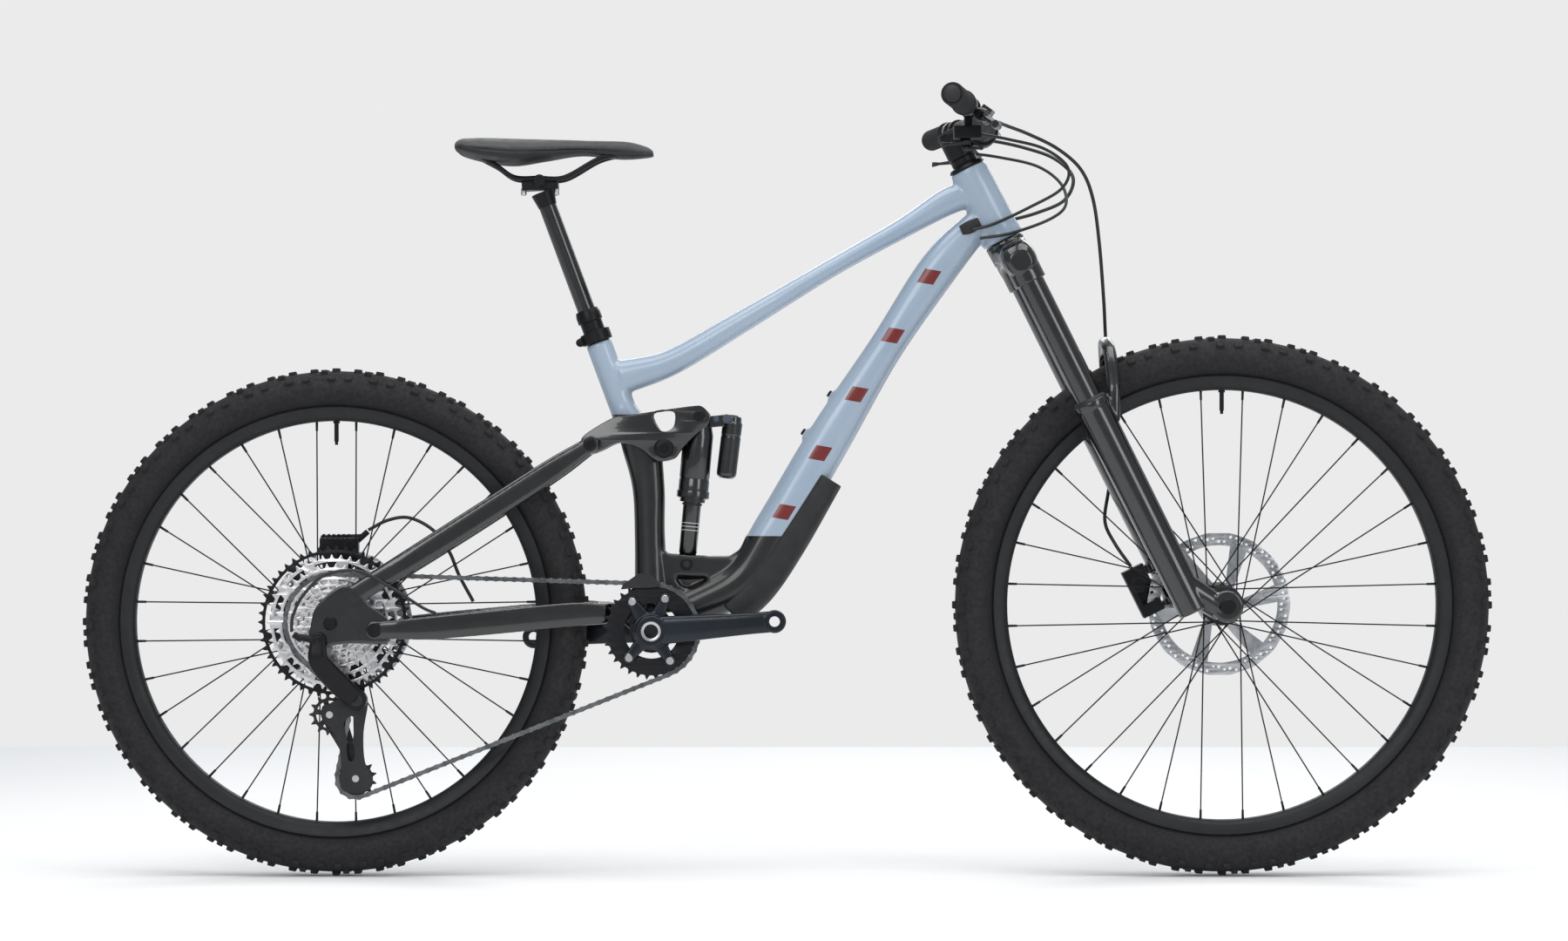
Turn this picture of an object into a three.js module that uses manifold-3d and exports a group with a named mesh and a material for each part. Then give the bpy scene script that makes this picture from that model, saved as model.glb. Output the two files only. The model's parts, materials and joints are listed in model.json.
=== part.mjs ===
// A full-suspension mountain bike. Millimetres, +X forward, +Y to the rider's left, +Z up.
import * as THREE from "three";
import { mergeVertices } from "three/addons/utils/BufferGeometryUtils.js";
import Module from "manifold-3d";

const wasm = await Module();
wasm.setup();

// ---- driving dimensions ----
const GAP = 0.3; // left between pieces that touch
const rearAxle = { x: -626, z: 352 };
const frontAxle = { x: 603, z: 375 };
const bracket = { x: -187.1, z: 340.9 }; // bottom bracket
const mainPivot = { x: -225, z: 365 };
const horst = { x: -565, z: 343 }; // chainstay to seatstay
const rockerEnd = { x: -272.4, z: 597.6 }; // seatstay to rocker
const rockerPivot = { x: -170.7, z: 592 };
const shockTop = { x: -121.4, z: 636.8 };
const shockFoot = { x: -139.6, z: 432.1 };
const headFoot = new THREE.Vector3(300, 0, 880.8); // bottom of the head tube
const steerUp = new THREE.Vector3(-0.446, 0, 0.895).normalize();
const steerFore = new THREE.Vector3(0.895, 0, 0.446).normalize();
const HEAD_LENGTH = 112;
const FORK_OFFSET = 45.6;
const FORK_LENGTH = 587.8; // axle to the foot of the head tube, along the steering axis
const LEG_Y = 66;
const LEG_FORE = 3;
const STANCHION_R = 19;
const SLEEVE_FOOT = -70; // along the steering axis from the foot of the head tube
const WIPER_TOP = -252;
const seatUp = new THREE.Vector3(-0.3486, 0, 0.9373).normalize();
const seatTop = new THREE.Vector3(-262.4, 0, 739.4); // centre of the seat clamp
const POST_TUBE_R = 15.3;
const POST_R = 12.5;
const RING_Y = -53; // chainring plane
const SMALL_COG_Y = -67.5;
const COG_STEP = 3.65;
const COG_TEETH = [10, 12, 14, 16, 18, 21, 24, 28, 33, 39, 45, 51];
const CHAIN_COG = 8; // the cog the chain lies on
const CHAIN_PITCH = 12.7;
const COG_Y = SMALL_COG_Y + COG_STEP * CHAIN_COG;
const CHAIN_WIDTH = 5.2;
const CHAIN_HEIGHT = 8;
const RING_TEETH = 32;
const PULLEY_TEETH = 13;
const guidePulley = { x: -631, z: 225 };
const tensionPulley = { x: -595, z: 137 };
const CRANK_LENGTH = 170;
const CRANK_TILT = 4.6; // degrees the right crank points above level
const ROTOR_R = 100;
const FRONT_ROTOR_Y = 38;
const REAR_ROTOR_Y = 58;
const BAR_HALF = 390;
const SPOKES = 32;
const WHEEL_SEGMENTS = 32;

// ---- helpers ----
const DEGREE = Math.PI / 180;
const group = new THREE.Group();
group.name = "mountain_bike";
const at = (x, y, z) => new THREE.Vector3(x, y, z);
const side = (place, y) => at(place.x, y, place.z);
const pitchRadius = (teeth) => CHAIN_PITCH / (2 * Math.sin(Math.PI / teeth));

// A closed three.js geometry as a solid that can be joined and cut.
function solid(geometry) {
  const plain = (geometry.index ? geometry.toNonIndexed() : geometry).clone();
  plain.deleteAttribute("normal");
  plain.deleteAttribute("uv");
  const merged = mergeVertices(plain, 1e-4);
  return new wasm.Manifold(
    new wasm.Mesh({
      numProp: 3,
      vertProperties: new Float32Array(merged.attributes.position.array),
      triVerts: new Uint32Array(merged.index.array),
    }),
  );
}

function join(...pieces) {
  return pieces.flat().reduce((whole, piece) => whole.add(piece));
}

function cut(body, ...tools) {
  return tools.flat().reduce((left, tool) => left.subtract(tool), body);
}

// Turns +Y onto the given direction and moves the origin to a place.
function alignY(geometry, direction, place) {
  const turn = new THREE.Quaternion().setFromUnitVectors(at(0, 1, 0), direction.clone().normalize());
  return geometry.applyQuaternion(turn).translate(place.x, place.y, place.z);
}

// A round bar between two points, with its own radius at each end.
function rod(from, to, radius, sides = 12, endRadius = radius) {
  const along = to.clone().sub(from);
  const middle = from.clone().add(to).multiplyScalar(0.5);
  return solid(alignY(new THREE.CylinderGeometry(endRadius, radius, along.length(), sides), along, middle));
}

// A round bar across the bike.
function cross(place, yFrom, yTo, radius, sides = 14) {
  return rod(side(place, yFrom), side(place, yTo), radius, sides);
}

// A closed profile of [radius, height] turned about an axis through a place.
function turned(profile, place, axis, segments = 18) {
  const points = profile.map(([r, h]) => new THREE.Vector2(r, h));
  const closes = profile[0][0] === 0 && profile.at(-1)[0] === 0;
  if (!closes) points.push(points[0].clone());
  const body = solid(alignY(new THREE.LatheGeometry(points, segments), axis, place));
  if (body.volume() > 0) return body;
  const turnedRound = solid(
    alignY(new THREE.LatheGeometry(points.reverse(), segments), axis, place),
  );
  return turnedRound;
}

const acrossAxis = at(0, 1, 0);

// A flat plate: an outline of [x, z] given a thickness across the bike.
function plateGeometry(outline, yFrom, yTo, holes = []) {
  const flat = (points, clockwise) => {
    const vectors = points.map(([x, z]) => new THREE.Vector2(x, z));
    return THREE.ShapeUtils.isClockWise(vectors) === clockwise ? vectors : vectors.reverse();
  };
  const shape = new THREE.Shape(flat(outline, false));
  for (const hole of holes) shape.holes.push(new THREE.Path(flat(hole, true)));
  const geometry = new THREE.ExtrudeGeometry(shape, { depth: yTo - yFrom, bevelEnabled: false });
  return geometry.rotateX(Math.PI / 2).translate(0, yTo, 0);
}

function plate(...given) {
  return solid(plateGeometry(...given));
}

function circle(place, radius, sides = 20) {
  return Array.from({ length: sides }, (_, i) => {
    const angle = (2 * Math.PI * i) / sides;
    return [place.x + radius * Math.cos(angle), place.z + radius * Math.sin(angle)];
  });
}

// An even cord or bent bar along a smooth curve through points.
function cordAlong(points, radius, step, sides = 8) {
  const curve = new THREE.CatmullRomCurve3(points, false, "centripetal");
  const shape = new THREE.Shape(
    Array.from({ length: sides }, (_, i) => {
      const angle = (2 * Math.PI * i) / sides;
      return new THREE.Vector2(radius * Math.cos(angle), radius * Math.sin(angle));
    }),
  );
  const steps = Math.min(80, Math.round(curve.getLength() / step));
  return solid(
    new THREE.ExtrudeGeometry(shape, { steps, bevelEnabled: false, extrudePath: curve }),
  );
}

// A body through oval sections; each has a centre and two half-axis vectors.
function loft(sections, sides = 16, squareness = 1) {
  const rings = sections.length - 1;
  const geometry = new THREE.CylinderGeometry(1, 1, 1, sides, rings);
  const places = geometry.attributes.position;
  const bend = (v) => Math.sign(v) * Math.abs(v) ** squareness;
  for (let i = 0; i < places.count; i++) {
    const section = sections[Math.round((places.getY(i) + 0.5) * rings)];
    const moved = section.centre
      .clone()
      .addScaledVector(section.u, bend(places.getX(i)))
      .addScaledVector(section.v, bend(places.getZ(i)));
    places.setXYZ(i, moved.x, moved.y, moved.z);
  }
  const body = solid(geometry);
  if (body.volume() > 0) return body;
  const swapped = sections.map(({ centre, u, v }) => ({ centre, u: v, v: u }));
  return loft(swapped, sides, squareness);
}

// Oval sections along the mid-plane: rows of [x, z, half height, half width, y].
function midTube(rows, sides = 12, squareness = 0.8) {
  const centres = rows.map(([x, z, , , y = 0]) => at(x, y, z));
  const sections = rows.map(([, , high, wide], i) => {
    const along = centres[Math.min(i + 1, rows.length - 1)]
      .clone()
      .sub(centres[Math.max(i - 1, 0)]);
    along.y = 0;
    along.normalize();
    return {
      centre: centres[i],
      u: at(-along.z, 0, along.x).multiplyScalar(high),
      v: at(0, wide, 0),
    };
  });
  return loft(sections, sides, squareness);
}

// A block with its own directions: half sizes along three unit vectors.
function block(centre, first, second, halves) {
  const third = first.clone().cross(second);
  const geometry = new THREE.BoxGeometry(2 * halves[0], 2 * halves[1], 2 * halves[2]);
  const frame = new THREE.Matrix4().makeBasis(first, second, third).setPosition(centre);
  return solid(geometry.applyMatrix4(frame));
}

// A point given along the steering axis, ahead of it and to the left.
function steerAt(along, fore, y) {
  return headFoot.clone().addScaledVector(steerUp, along).addScaledVector(steerFore, fore).setY(y);
}

function seatAt(along, fore = 0, y = 0) {
  const seatFore = at(seatUp.z, 0, -seatUp.x);
  return seatTop.clone().addScaledVector(seatUp, along).addScaledVector(seatFore, fore).setY(y);
}

function add(name, body, colour, roughness, metalness) {
  const made = body.getMesh();
  const geometry = new THREE.BufferGeometry();
  geometry.setAttribute("position", new THREE.BufferAttribute(made.vertProperties, 3));
  geometry.setIndex(new THREE.BufferAttribute(made.triVerts, 1));
  geometry.computeVertexNormals();
  const mesh = new THREE.Mesh(
    geometry,
    new THREE.MeshStandardMaterial({ color: colour, roughness, metalness }),
  );
  mesh.name = name;
  group.add(mesh);
  return body;
}

const PAINT = "#afc0d1";
const BLACK = "#141517";
const MATTE = "#26272a";
const STEEL = "#9a9c9e";
const ALLOY = "#3a3d42";
const RUBBER = "#1b1b1c";

// ---- frame ----
const headTop = steerAt(HEAD_LENGTH, 0, 0);
const headTube = join(
  rod(headFoot, headTop, 29, 16, 26),
  rod(steerAt(0, 0, 0), steerAt(12, 0, 0), 30.5, 16, 29.5),
);
const headBore = join(
  rod(steerAt(-5, 0, 0), steerAt(30, 0, 0), 25, 16),
  rod(steerAt(25, 0, 0), steerAt(HEAD_LENGTH + 5, 0, 0), 21, 16),
);
const topTube = midTube([
  [262, 945, 17, 17],
  [225, 936, 19, 20],
  [160, 898, 14, 21],
  [60, 842, 12.5, 21],
  [-65, 767, 15.5, 20],
  [-160, 712, 18, 19],
  [-232, 690, 24, 19],
], 10);
const downTube = midTube([
  [272, 912, 20, 22],
  [213, 846, 27, 26],
  [136, 731, 24, 29],
  [61, 610, 30, 30],
  [-12, 486, 31, 31],
  [-62, 410, 30, 31],
  [-140, 368, 28, 32],
], 12);
const seatTube = rod(seatTop, seatAt(-185), 18.2, 16);
const lowerSeatTube = midTube([
  [-229, 650, 16, 19],
  [-205, 600, 26, 20],
  [-193, 540, 22.5, 21],
  [-191, 470, 21, 24],
  [-188, 380, 24, 30],
], 10);
const cradle = plate([
  [-180, 462],
  [-166, 447],
  [-102, 443],
  [-80, 443],
  [-66, 452],
  [-57, 472],
  [-40, 440],
  [-70, 390],
  [-120, 365],
  [-205, 365],
  [-205, 440],
], -20, 20, [[
  [-156, 414],
  [-111, 413],
  [-109, 406],
  [-126, 399],
  [-146, 400],
]]);
const shell = join(
  cross(bracket, -36.5, 36.5, 27.5, 16),
  cross(mainPivot, -33.5, -25, 15.5),
  cross(mainPivot, 25, 33.5, 15.5),
  ...[-1, 1].map((hand) => {
    const [near, far] = hand < 0 ? [-33.5, -25] : [25, 33.5];
    return plate([
      [-228, 379],
      [-228, 351],
      [-205, 330],
      [-180, 335],
      [-180, 378],
    ], near, far);
  }),
);
const tubeAlong = at(0.566, 0, 0.825).normalize();
const bottleBosses = [at(65, 0, 663.5), at(28.8, 0, 610.7)].map((foot) =>
  block(foot, tubeAlong, at(0, 1, 0), [9, 9, 7]),
);
const frame = add("front_triangle", cut(
  join(headTube, topTube, downTube, seatTube, lowerSeatTube, cradle, shell,
    cross(rockerPivot, -24, 24, 14), bottleBosses),
  headBore,
  rod(seatAt(5), seatAt(-200), POST_TUBE_R + GAP, 16),
  cross(bracket, -40, 40, 21, 16),
  cross(rockerPivot, -30, 30, 8.3),
  cross(mainPivot, -40, 40, 7.3),
  plate([[-176, 475], [-176, 415], [-118, 415], [-98, 470]], -12.8, 12.8),
  cross(shockFoot, -25, 25, 5.3),
  cross(mainPivot, -24.6, 24.6, 16.5),
), PAINT, 0.3, 0.1);

add("downtube_guard", cut(
  midTube([
    [62, 556, 22, 33.5],
    [4, 464, 25, 34.5],
    [-40, 402, 27, 34.5],
    [-80, 362, 24, 34],
  ], 12),
  midTube([
    [136, 731, 25, 29.6],
    [61, 610, 30.5, 30.6],
    [-12, 486, 31.5, 31.6],
    [-62, 410, 30.5, 31.6],
    [-140, 368, 28.5, 32.6],
  ], 12),
  plate([[90, 580], [40, 580], [-16, 486], [-50, 430], [-84, 396], [-200, 396], [-200, 640],
    [90, 640]], -60, 60),
  cross(bracket, -60, 60, 62, 20),
), MATTE, 0.75, 0);

add("seat_clamp", cut(
  join(
    rod(seatAt(0.4), seatAt(16), 21, 16),
    cross({ x: seatAt(8, -24).x, z: seatAt(8, -24).z }, -9, 9, 6, 12),
    block(seatAt(8, -19), seatUp, at(0, 1, 0), [6, 8, 4]),
  ),
  rod(seatAt(-3), seatAt(20), POST_TUBE_R + GAP, 16),
), BLACK, 0.45, 0.6);

add("dropper_outer_tube", cut(
  join(
    rod(seatAt(-176), seatAt(38), POST_TUBE_R, 16),
    rod(seatAt(30), seatAt(48), 17.5, 16, 15.5),
  ),
  rod(seatAt(-180), seatAt(60), POST_R + GAP, 16),
), BLACK, 0.4, 0.5);

const spindleR = 12;
add("bottom_bracket", turned([
  [spindleR + GAP, -44],
  [22.5, -44],
  [22.5, -36.9],
  [20.7, -36.9],
  [20.7, 36.9],
  [22.5, 36.9],
  [22.5, 44],
  [spindleR + GAP, 44],
], side(bracket, 0), acrossAxis, 16), BLACK, 0.4, 0.6);

add("main_pivot_axle", join(
  cross(mainPivot, -37.2, 37.2, 7, 16),
  cross(mainPivot, -37.2, -33.8, 10, 16),
), STEEL, 0.35, 0.9);
add("rocker_pivot_axle", cross(rockerPivot, -34, 34, 8, 12), STEEL, 0.35, 0.9);

// ---- chainring side and drive ----
const tilt = CRANK_TILT * DEGREE;
const rightPedal = {
  x: bracket.x + CRANK_LENGTH * Math.cos(tilt),
  z: bracket.z + CRANK_LENGTH * Math.sin(tilt),
};
const leftPedal = { x: 2 * bracket.x - rightPedal.x, z: 2 * bracket.z - rightPedal.z };

// A crank arm from the bracket to the pedal hole, thicker at the bracket.
function crankArm(pedal, hand) {
  const along = side(pedal, 0).sub(side(bracket, 0)).normalize();
  const up = at(-along.z, 0, along.x);
  const station = (t, half, inner, outer) => ({
    centre: side(bracket, (hand * (inner + outer)) / 2).addScaledVector(along, t),
    u: up.clone().multiplyScalar(half),
    v: at(0, (outer - inner) / 2, 0),
  });
  return join(
    loft([
      station(0, 20, 58, 74),
      station(60, 18, 63, 78),
      station(130, 15.5, 68, 82),
      station(CRANK_LENGTH, 15, 70, 83),
    ], 10, 0.6),
    cross(pedal, hand * 69.5, hand * 83.5, 16, 14),
    cross(bracket, hand * 56, hand * 76, 22, 14),
  );
}

const pedalHoles = [rightPedal, leftPedal].map((pedal) => cross(pedal, -95, 95, 7.3, 10));
const spiderTips = [
  { x: -221, z: 393 },
  { x: -164, z: 395 },
  { x: -213, z: 310 },
  { x: -158, z: 295 },
].map((tip) => {
  const along = side(tip, 0).sub(side(bracket, 0)).setLength(48);
  return { x: bracket.x + along.x, z: bracket.z + along.z };
});
const spider = join(
  cross(bracket, -60, -54.3, 26, 14),
  spiderTips.map((tip) => join(
    rod(side(bracket, -57.3), side(tip, -57.3), 2.8, 6),
    cross(tip, -60, -54.3, 8, 8),
  )),
);
add("crank_right", cut(
  join(crankArm(rightPedal, -1), spider, cross(bracket, -76, 79, spindleR, 16)),
  cross(bracket, -90, 90, 9.8, 12),
  pedalHoles,
), "#3b4450", 0.35, 0.6);
add("crank_left", cut(
  crankArm(leftPedal, 1),
  cross(bracket, 30, 90, spindleR + GAP, 16),
  pedalHoles,
), "#3b4450", 0.35, 0.6);

// A toothed outline around a centre.
function toothed(centre, teeth) {
  const pitch = pitchRadius(teeth);
  const levels = [pitch - 3.2, pitch - 3.2, pitch + 2.6];
  const shares = [-0.2, 0.2, 0.5];
  const outline = [];
  for (let tooth = 0; tooth < teeth; tooth++) {
    levels.forEach((radius, i) => {
      const angle = ((tooth + shares[i]) * 2 * Math.PI) / teeth;
      outline.push([centre.x + radius * Math.cos(angle), centre.z + radius * Math.sin(angle)]);
    });
  }
  return outline;
}

add("chainring", cut(
  plate(toothed(bracket, RING_TEETH), RING_Y - 1, RING_Y + 1, [circle(bracket, 37, 20)]),
), BLACK, 0.4, 0.7);

const cogPitch = pitchRadius(COG_TEETH[CHAIN_COG]);
const cassetteProfile = [];
COG_TEETH.forEach((teeth, i) => {
  const y = SMALL_COG_Y + COG_STEP * i;
  const tip = pitchRadius(teeth) + 2.6;
  cassetteProfile.push([tip, y - 0.8], [tip, y + 0.8]);
  if (i >= CHAIN_COG - 1 && i <= CHAIN_COG) {
    cassetteProfile.push([pitchRadius(teeth) - 8, y + 0.8]);
    cassetteProfile.push([pitchRadius(teeth) - 8, y + COG_STEP - 0.8]);
  }
});
const FREEHUB_R = 17;
const innerCogY = SMALL_COG_Y + COG_STEP * (COG_TEETH.length - 1) + 0.8;
add("cassette", turned([
  [FREEHUB_R + 1, SMALL_COG_Y - 2.4],
  [19, SMALL_COG_Y - 2.4],
  [19, SMALL_COG_Y - 0.8],
  ...cassetteProfile,
  [96, innerCogY],
  [60, innerCogY - 2.5],
  [FREEHUB_R + 1, innerCogY - 2.5],
], side(rearAxle, 0), acrossAxis, 15), STEEL, 0.3, 0.9);

// ---- chain: a closed belt along the pitch line ----
const ringPitch = pitchRadius(RING_TEETH);
const pulleyPitch = pitchRadius(PULLEY_TEETH);
const wraps = [
  { centre: bracket, radius: ringPitch, hand: 1 },
  { centre: tensionPulley, radius: pulleyPitch, hand: 1 },
  { centre: guidePulley, radius: pulleyPitch, hand: -1 },
  { centre: rearAxle, radius: cogPitch, hand: 1 },
];

// The angles at which a straight run leaves one wrap and meets the next; hand is 1 for clockwise.
function runAngle(from, to) {
  const dx = to.centre.x - from.centre.x;
  const dz = to.centre.z - from.centre.z;
  const lean = Math.asin((from.hand * from.radius - to.hand * to.radius) / Math.hypot(dx, dz));
  return Math.atan2(dz, dx) - lean + Math.PI / 2;
}

// The belt's edge at a distance to the left of the pitch line.
function beltEdge(offset) {
  const edge = [];
  wraps.forEach((wrap, i) => {
    const before = wraps[(i + wraps.length - 1) % wraps.length];
    const after = wraps[(i + 1) % wraps.length];
    const flip = wrap.hand > 0 ? 0 : Math.PI;
    const meet = runAngle(before, wrap) + flip;
    let sweep = (runAngle(wrap, after) + flip - meet) * -wrap.hand;
    sweep = ((sweep % (2 * Math.PI)) + 2 * Math.PI) % (2 * Math.PI);
    const steps = Math.max(2, Math.ceil((sweep * wrap.radius) / 18));
    for (let step = 0; step <= steps; step++) {
      const angle = meet - (wrap.hand * sweep * step) / steps;
      const reach = wrap.radius + wrap.hand * offset;
      edge.push([
        wrap.centre.x + reach * Math.cos(angle),
        wrap.centre.z + reach * Math.sin(angle),
      ]);
    }
  });
  return edge;
}

// The chain crosses from the cog's plane to the chainring's plane between the two wraps.
const CROSS_START = -560;
const CROSS_END = -253;
function chainY(x) {
  const share = THREE.MathUtils.clamp((x - CROSS_START) / (CROSS_END - CROSS_START), 0, 1);
  return COG_Y + share * (RING_Y - COG_Y);
}
const belt = plateGeometry(
  beltEdge(CHAIN_HEIGHT / 2),
  -CHAIN_WIDTH / 2,
  CHAIN_WIDTH / 2,
  [beltEdge(-CHAIN_HEIGHT / 2)],
);
const beltPlaces = belt.attributes.position;
for (let i = 0; i < beltPlaces.count; i++) {
  beltPlaces.setY(i, beltPlaces.getY(i) + chainY(beltPlaces.getX(i)));
}
const TOOTH_ROOM = 3.1;
const slot = (wrap, y, half) => cross(wrap.centre, y - half, y + half, wrap.radius + TOOTH_ROOM, 28);
add("chain", cut(
  solid(belt),
  slot(wraps[0], RING_Y, 1.35),
  slot(wraps[1], COG_Y, 1.35),
  slot(wraps[2], COG_Y, 1.35),
  slot(wraps[3], COG_Y, 1.15),
), "#7d7f80", 0.35, 0.9);

// ---- derailleur, in the plane of the chain's cog ----
const cagePivot = { x: -592, z: 246 };
const hangerBolt = { x: -642, z: 329 };
add("derailleur_body", cut(
  join(
    cross(hangerBolt, -93, -82.6, 11, 16),
    midTube([
      [-642, 327, 11, 5, -89],
      [-640, 300, 14, 6, -90],
      [-614, 268, 15, 7, -72],
      [-592, 246, 14, 8, -60],
    ], 12, 0.7),
    cross(cagePivot, -66, -46, 14.5, 20),
    rod(at(-642, -88, 329), at(-668, -88, 334), 6, 10, 4.5),
    rod(at(-664, -88, 330), at(-676, -88, 338), 5, 10),
  ),
), BLACK, 0.45, 0.3);

const cagePlate = [
  [-641, 236],
  [-630, 241],
  [-600, 257],
  [-582, 254],
  [-578, 240],
  [-584, 200],
  [-582, 160],
  [-570, 138],
  [-577, 120],
  [-600, 116],
  [-617, 126],
  [-615, 160],
  [-622, 195],
  [-642, 218],
];
const cageWindow = [[-610, 212], [-597, 222], [-599, 185], [-596, 160], [-605, 165]];
add("derailleur_cage", join(
  plate(cagePlate, -45.6, -43.8, [cageWindow]),
  plate([
    [-641, 233],
    [-622, 237],
    [-604, 205],
    [-592, 160],
    [-578, 142],
    [-581, 122],
    [-600, 118],
    [-613, 128],
    [-613, 165],
    [-642, 215],
  ], -33.8, -32.2),
  cross(guidePulley, -45.6, -32.2, 3, 8),
  cross(tensionPulley, -45.6, -32.2, 3, 8),
), MATTE, 0.5, 0.4);

for (const [name, place] of [["guide_pulley", guidePulley], ["tension_pulley", tensionPulley]]) {
  add(name, cut(
    join(
      plate(toothed(place, PULLEY_TEETH), COG_Y - 1, COG_Y + 1),
      cross(place, COG_Y - 3.6, COG_Y + 3.6, 8, 10),
    ),
    cross(place, COG_Y - 9, COG_Y + 9, 3.5, 8),
  ), MATTE, 0.6, 0);
}

add("chain_guide", cut(
  join(
    plate([
      [-229, 398],
      [-226, 405],
      [-206, 419],
      [-190, 421],
      [-173, 403],
      [-186, 400.5],
      [-208, 400],
    ], -59.5, -45.5),
    plate([[-214, 352], [-196, 366], [-186, 400], [-206, 412], [-216, 396], [-207, 370]],
      -46, -38),
    cross(bracket, -40, -36.8, 31, 24),
  ),
  cross(bracket, -62, -30, 22.8, 24),
  cross(mainPivot, -50, -30, 11, 16),
  plate([
    [-260, 330],
    [-260, 414],
    [-187, 413],
    [-160, 402],
    [-160, 330],
  ], -57.6, -47.6),
), BLACK, 0.5, 0);

// ---- rear suspension ----
const hands = [-1, 1];

// A bar across one side of the bike, between two distances from the mid-plane.
function sideBar(place, hand, inner, outer, radius, sides = 16) {
  return cross(place, hand < 0 ? -outer : inner, hand < 0 ? -inner : outer, radius, sides);
}

function sidePlate(outline, hand, inner, outer, holes = []) {
  return plate(outline, hand < 0 ? -outer : inner, hand < 0 ? -inner : outer, holes);
}

const handed = (rows, hand) => rows.map(([x, z, high, wide, y]) => [x, z, high, wide, hand * y]);

add("chainstays", cut(
  join(
    cross(mainPivot, -24.3, 24.3, 15, 20),
    block(at(-246, 0, 365), at(1, 0, 0), at(0, 1, 0), [18, 24.3, 13]),
    block(at(-253.5, 0, 365), at(1, 0, 0), at(0, 1, 0), [10.5, 44, 14]),
    hands.map((hand) => join(
      midTube(handed([
        [-248, 364, 14, 5.5, 41.5],
        [-300, 363, 17, 5.5, 48],
        [-420, 352, 17, 6, 66],
        [-490, 346, 16, 5, 80],
        [-530, 344, 13.5, 4, 86.8],
        [-562, 343, 12, 4, 86.8],
      ], hand), 8, 0.7),
      sideBar(horst, hand, 82.8, 90.8, 12.5),
      sideBar(horst, hand, 76, 90, 6),
    )),
  ),
  cross(mainPivot, -24.8, 24.8, 7.3),
  hands.map((hand) => sideBar(mainPivot, hand, 24.4, 46, 17)),
), BLACK, 0.4, 0.1);

const dropout = [
  [-646, 374],
  [-653, 350],
  [-655, 326],
  [-640, 315],
  [-622, 322],
  [-548, 325],
  [-543, 342],
  [-549, 360],
  [-576, 379],
  [-600, 404],
  [-622, 398],
];
const caliperMount = [[-655, 436], [-650, 380], [-600, 385], [-598, 436]];
add("seatstays", cut(
  join(
    rod(at(-318.8, -44, 565.4), at(-318.8, 44, 565.4), 5.5, 12),
    hands.map((hand) => join(
      midTube(handed([
        [-276, 595, 12, 5.5, 40.2],
        [-330, 559, 15.5, 5.5, 46],
        [-440, 488, 16, 6, 62],
        [-530, 431, 15, 5, 75.5],
        [-598, 388, 14, 3.6, 78.4],
      ], hand), 8, 0.7),
      sideBar(rockerEnd, hand, 34.5, 45.5, 12.5),
      sidePlate(dropout, hand, 75, 82),
    )),
    plate(caliperMount, 75, 82),
  ),
  cross(rearAxle, -95, 95, 6.3),
  cross(horst, -95, 95, 6.3),
), BLACK, 0.3, 0.1);

add("rear_axle", join(
  cross(rearAxle, -88, 84, 6, 12),
  cross(rearAxle, -88, -82.4, 9, 12),
), BLACK, 0.4, 0.7);

const rockerOutline = [
  [-285, 598],
  [-280, 611],
  [-242, 634],
  [-221, 638],
  [-131, 651],
  [-117, 650],
  [-107, 638],
  [-110, 625],
  [-129, 609],
  [-147, 590],
  [-157, 578],
  [-175, 574],
  [-188, 580],
  [-203, 592],
  [-231, 600],
  [-257, 589],
  [-272, 584],
  [-283, 588],
];
const rockerWindow = [[-186, 640], [-158, 644], [-156, 626], [-163, 617], [-176, 618]];
add("rocker_link", cut(
  join(
    hands.map((hand) => sidePlate(rockerOutline, hand, 26, 33, [rockerWindow])),
    rod(at(-146, -27, 629), at(-146, 27, 629), 4.5, 12),
  ),
  cross(rockerPivot, -40, 40, 8.6, 12),
  cross(rockerEnd, -40, 40, 5, 8),
  cross(shockTop, -40, 40, 5, 8),
), BLACK, 0.35, 0.5);

const shockDown = side(shockFoot, 0).sub(side(shockTop, 0)).normalize();
const shockAt = (along) => side(shockTop, 0).addScaledVector(shockDown, along);
const SHAFT_R = 12.5;
add("shock_body", cut(
  join(
    cross(shockTop, -25, 25, 13, 12),
    rod(shockAt(2), shockAt(30), 17, 14, 20),
    rod(shockAt(26), shockAt(104), 21, 14),
    rod(shockAt(103), shockAt(114), 22.5, 14),
    rod(shockAt(113), shockAt(120), 17.5, 14),
    block(at(-100, 0, 629), at(1, 0, 0.1).normalize(), at(0, 1, 0), [24, 10, 10]),
    rod(at(-76, 0, 629), at(-85.5, 0, 550), 14, 14),
  ),
  rod(shockAt(40), shockAt(130), SHAFT_R + 0.6, 14),
), BLACK, 0.3, 0.5);
add("shock_shaft", join(
  rod(shockAt(112), shockAt(198), SHAFT_R, 14),
  cross(shockFoot, -12.3, 12.3, 11, 16),
  cross(shockFoot, -22, 22, 5, 12),
), BLACK, 0.2, 0.5);

// ---- wheels ----
// A ring of rubber, open towards the rim; radii are measured from the wheel's middle.
function tyre(name, centre, lip, outer, half) {
  const crown = outer - 3;
  add(name, turned([
    [lip - 5.5, -12.8],
    [lip + 0.6, -12.8],
    [lip + 20, -half],
    [crown - 9, -half + 2.5],
    [outer, -9],
    [outer, 9],
    [crown - 9, half - 2.5],
    [lip + 20, half],
    [lip + 0.6, 12.8],
    [lip - 5.5, 12.8],
    [lip - 5.5, 9],
    [crown - 12, 0],
    [lip - 5.5, -9],
  ], side(centre, 0), acrossAxis, WHEEL_SEGMENTS), RUBBER, 0.9, 0);
}

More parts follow.
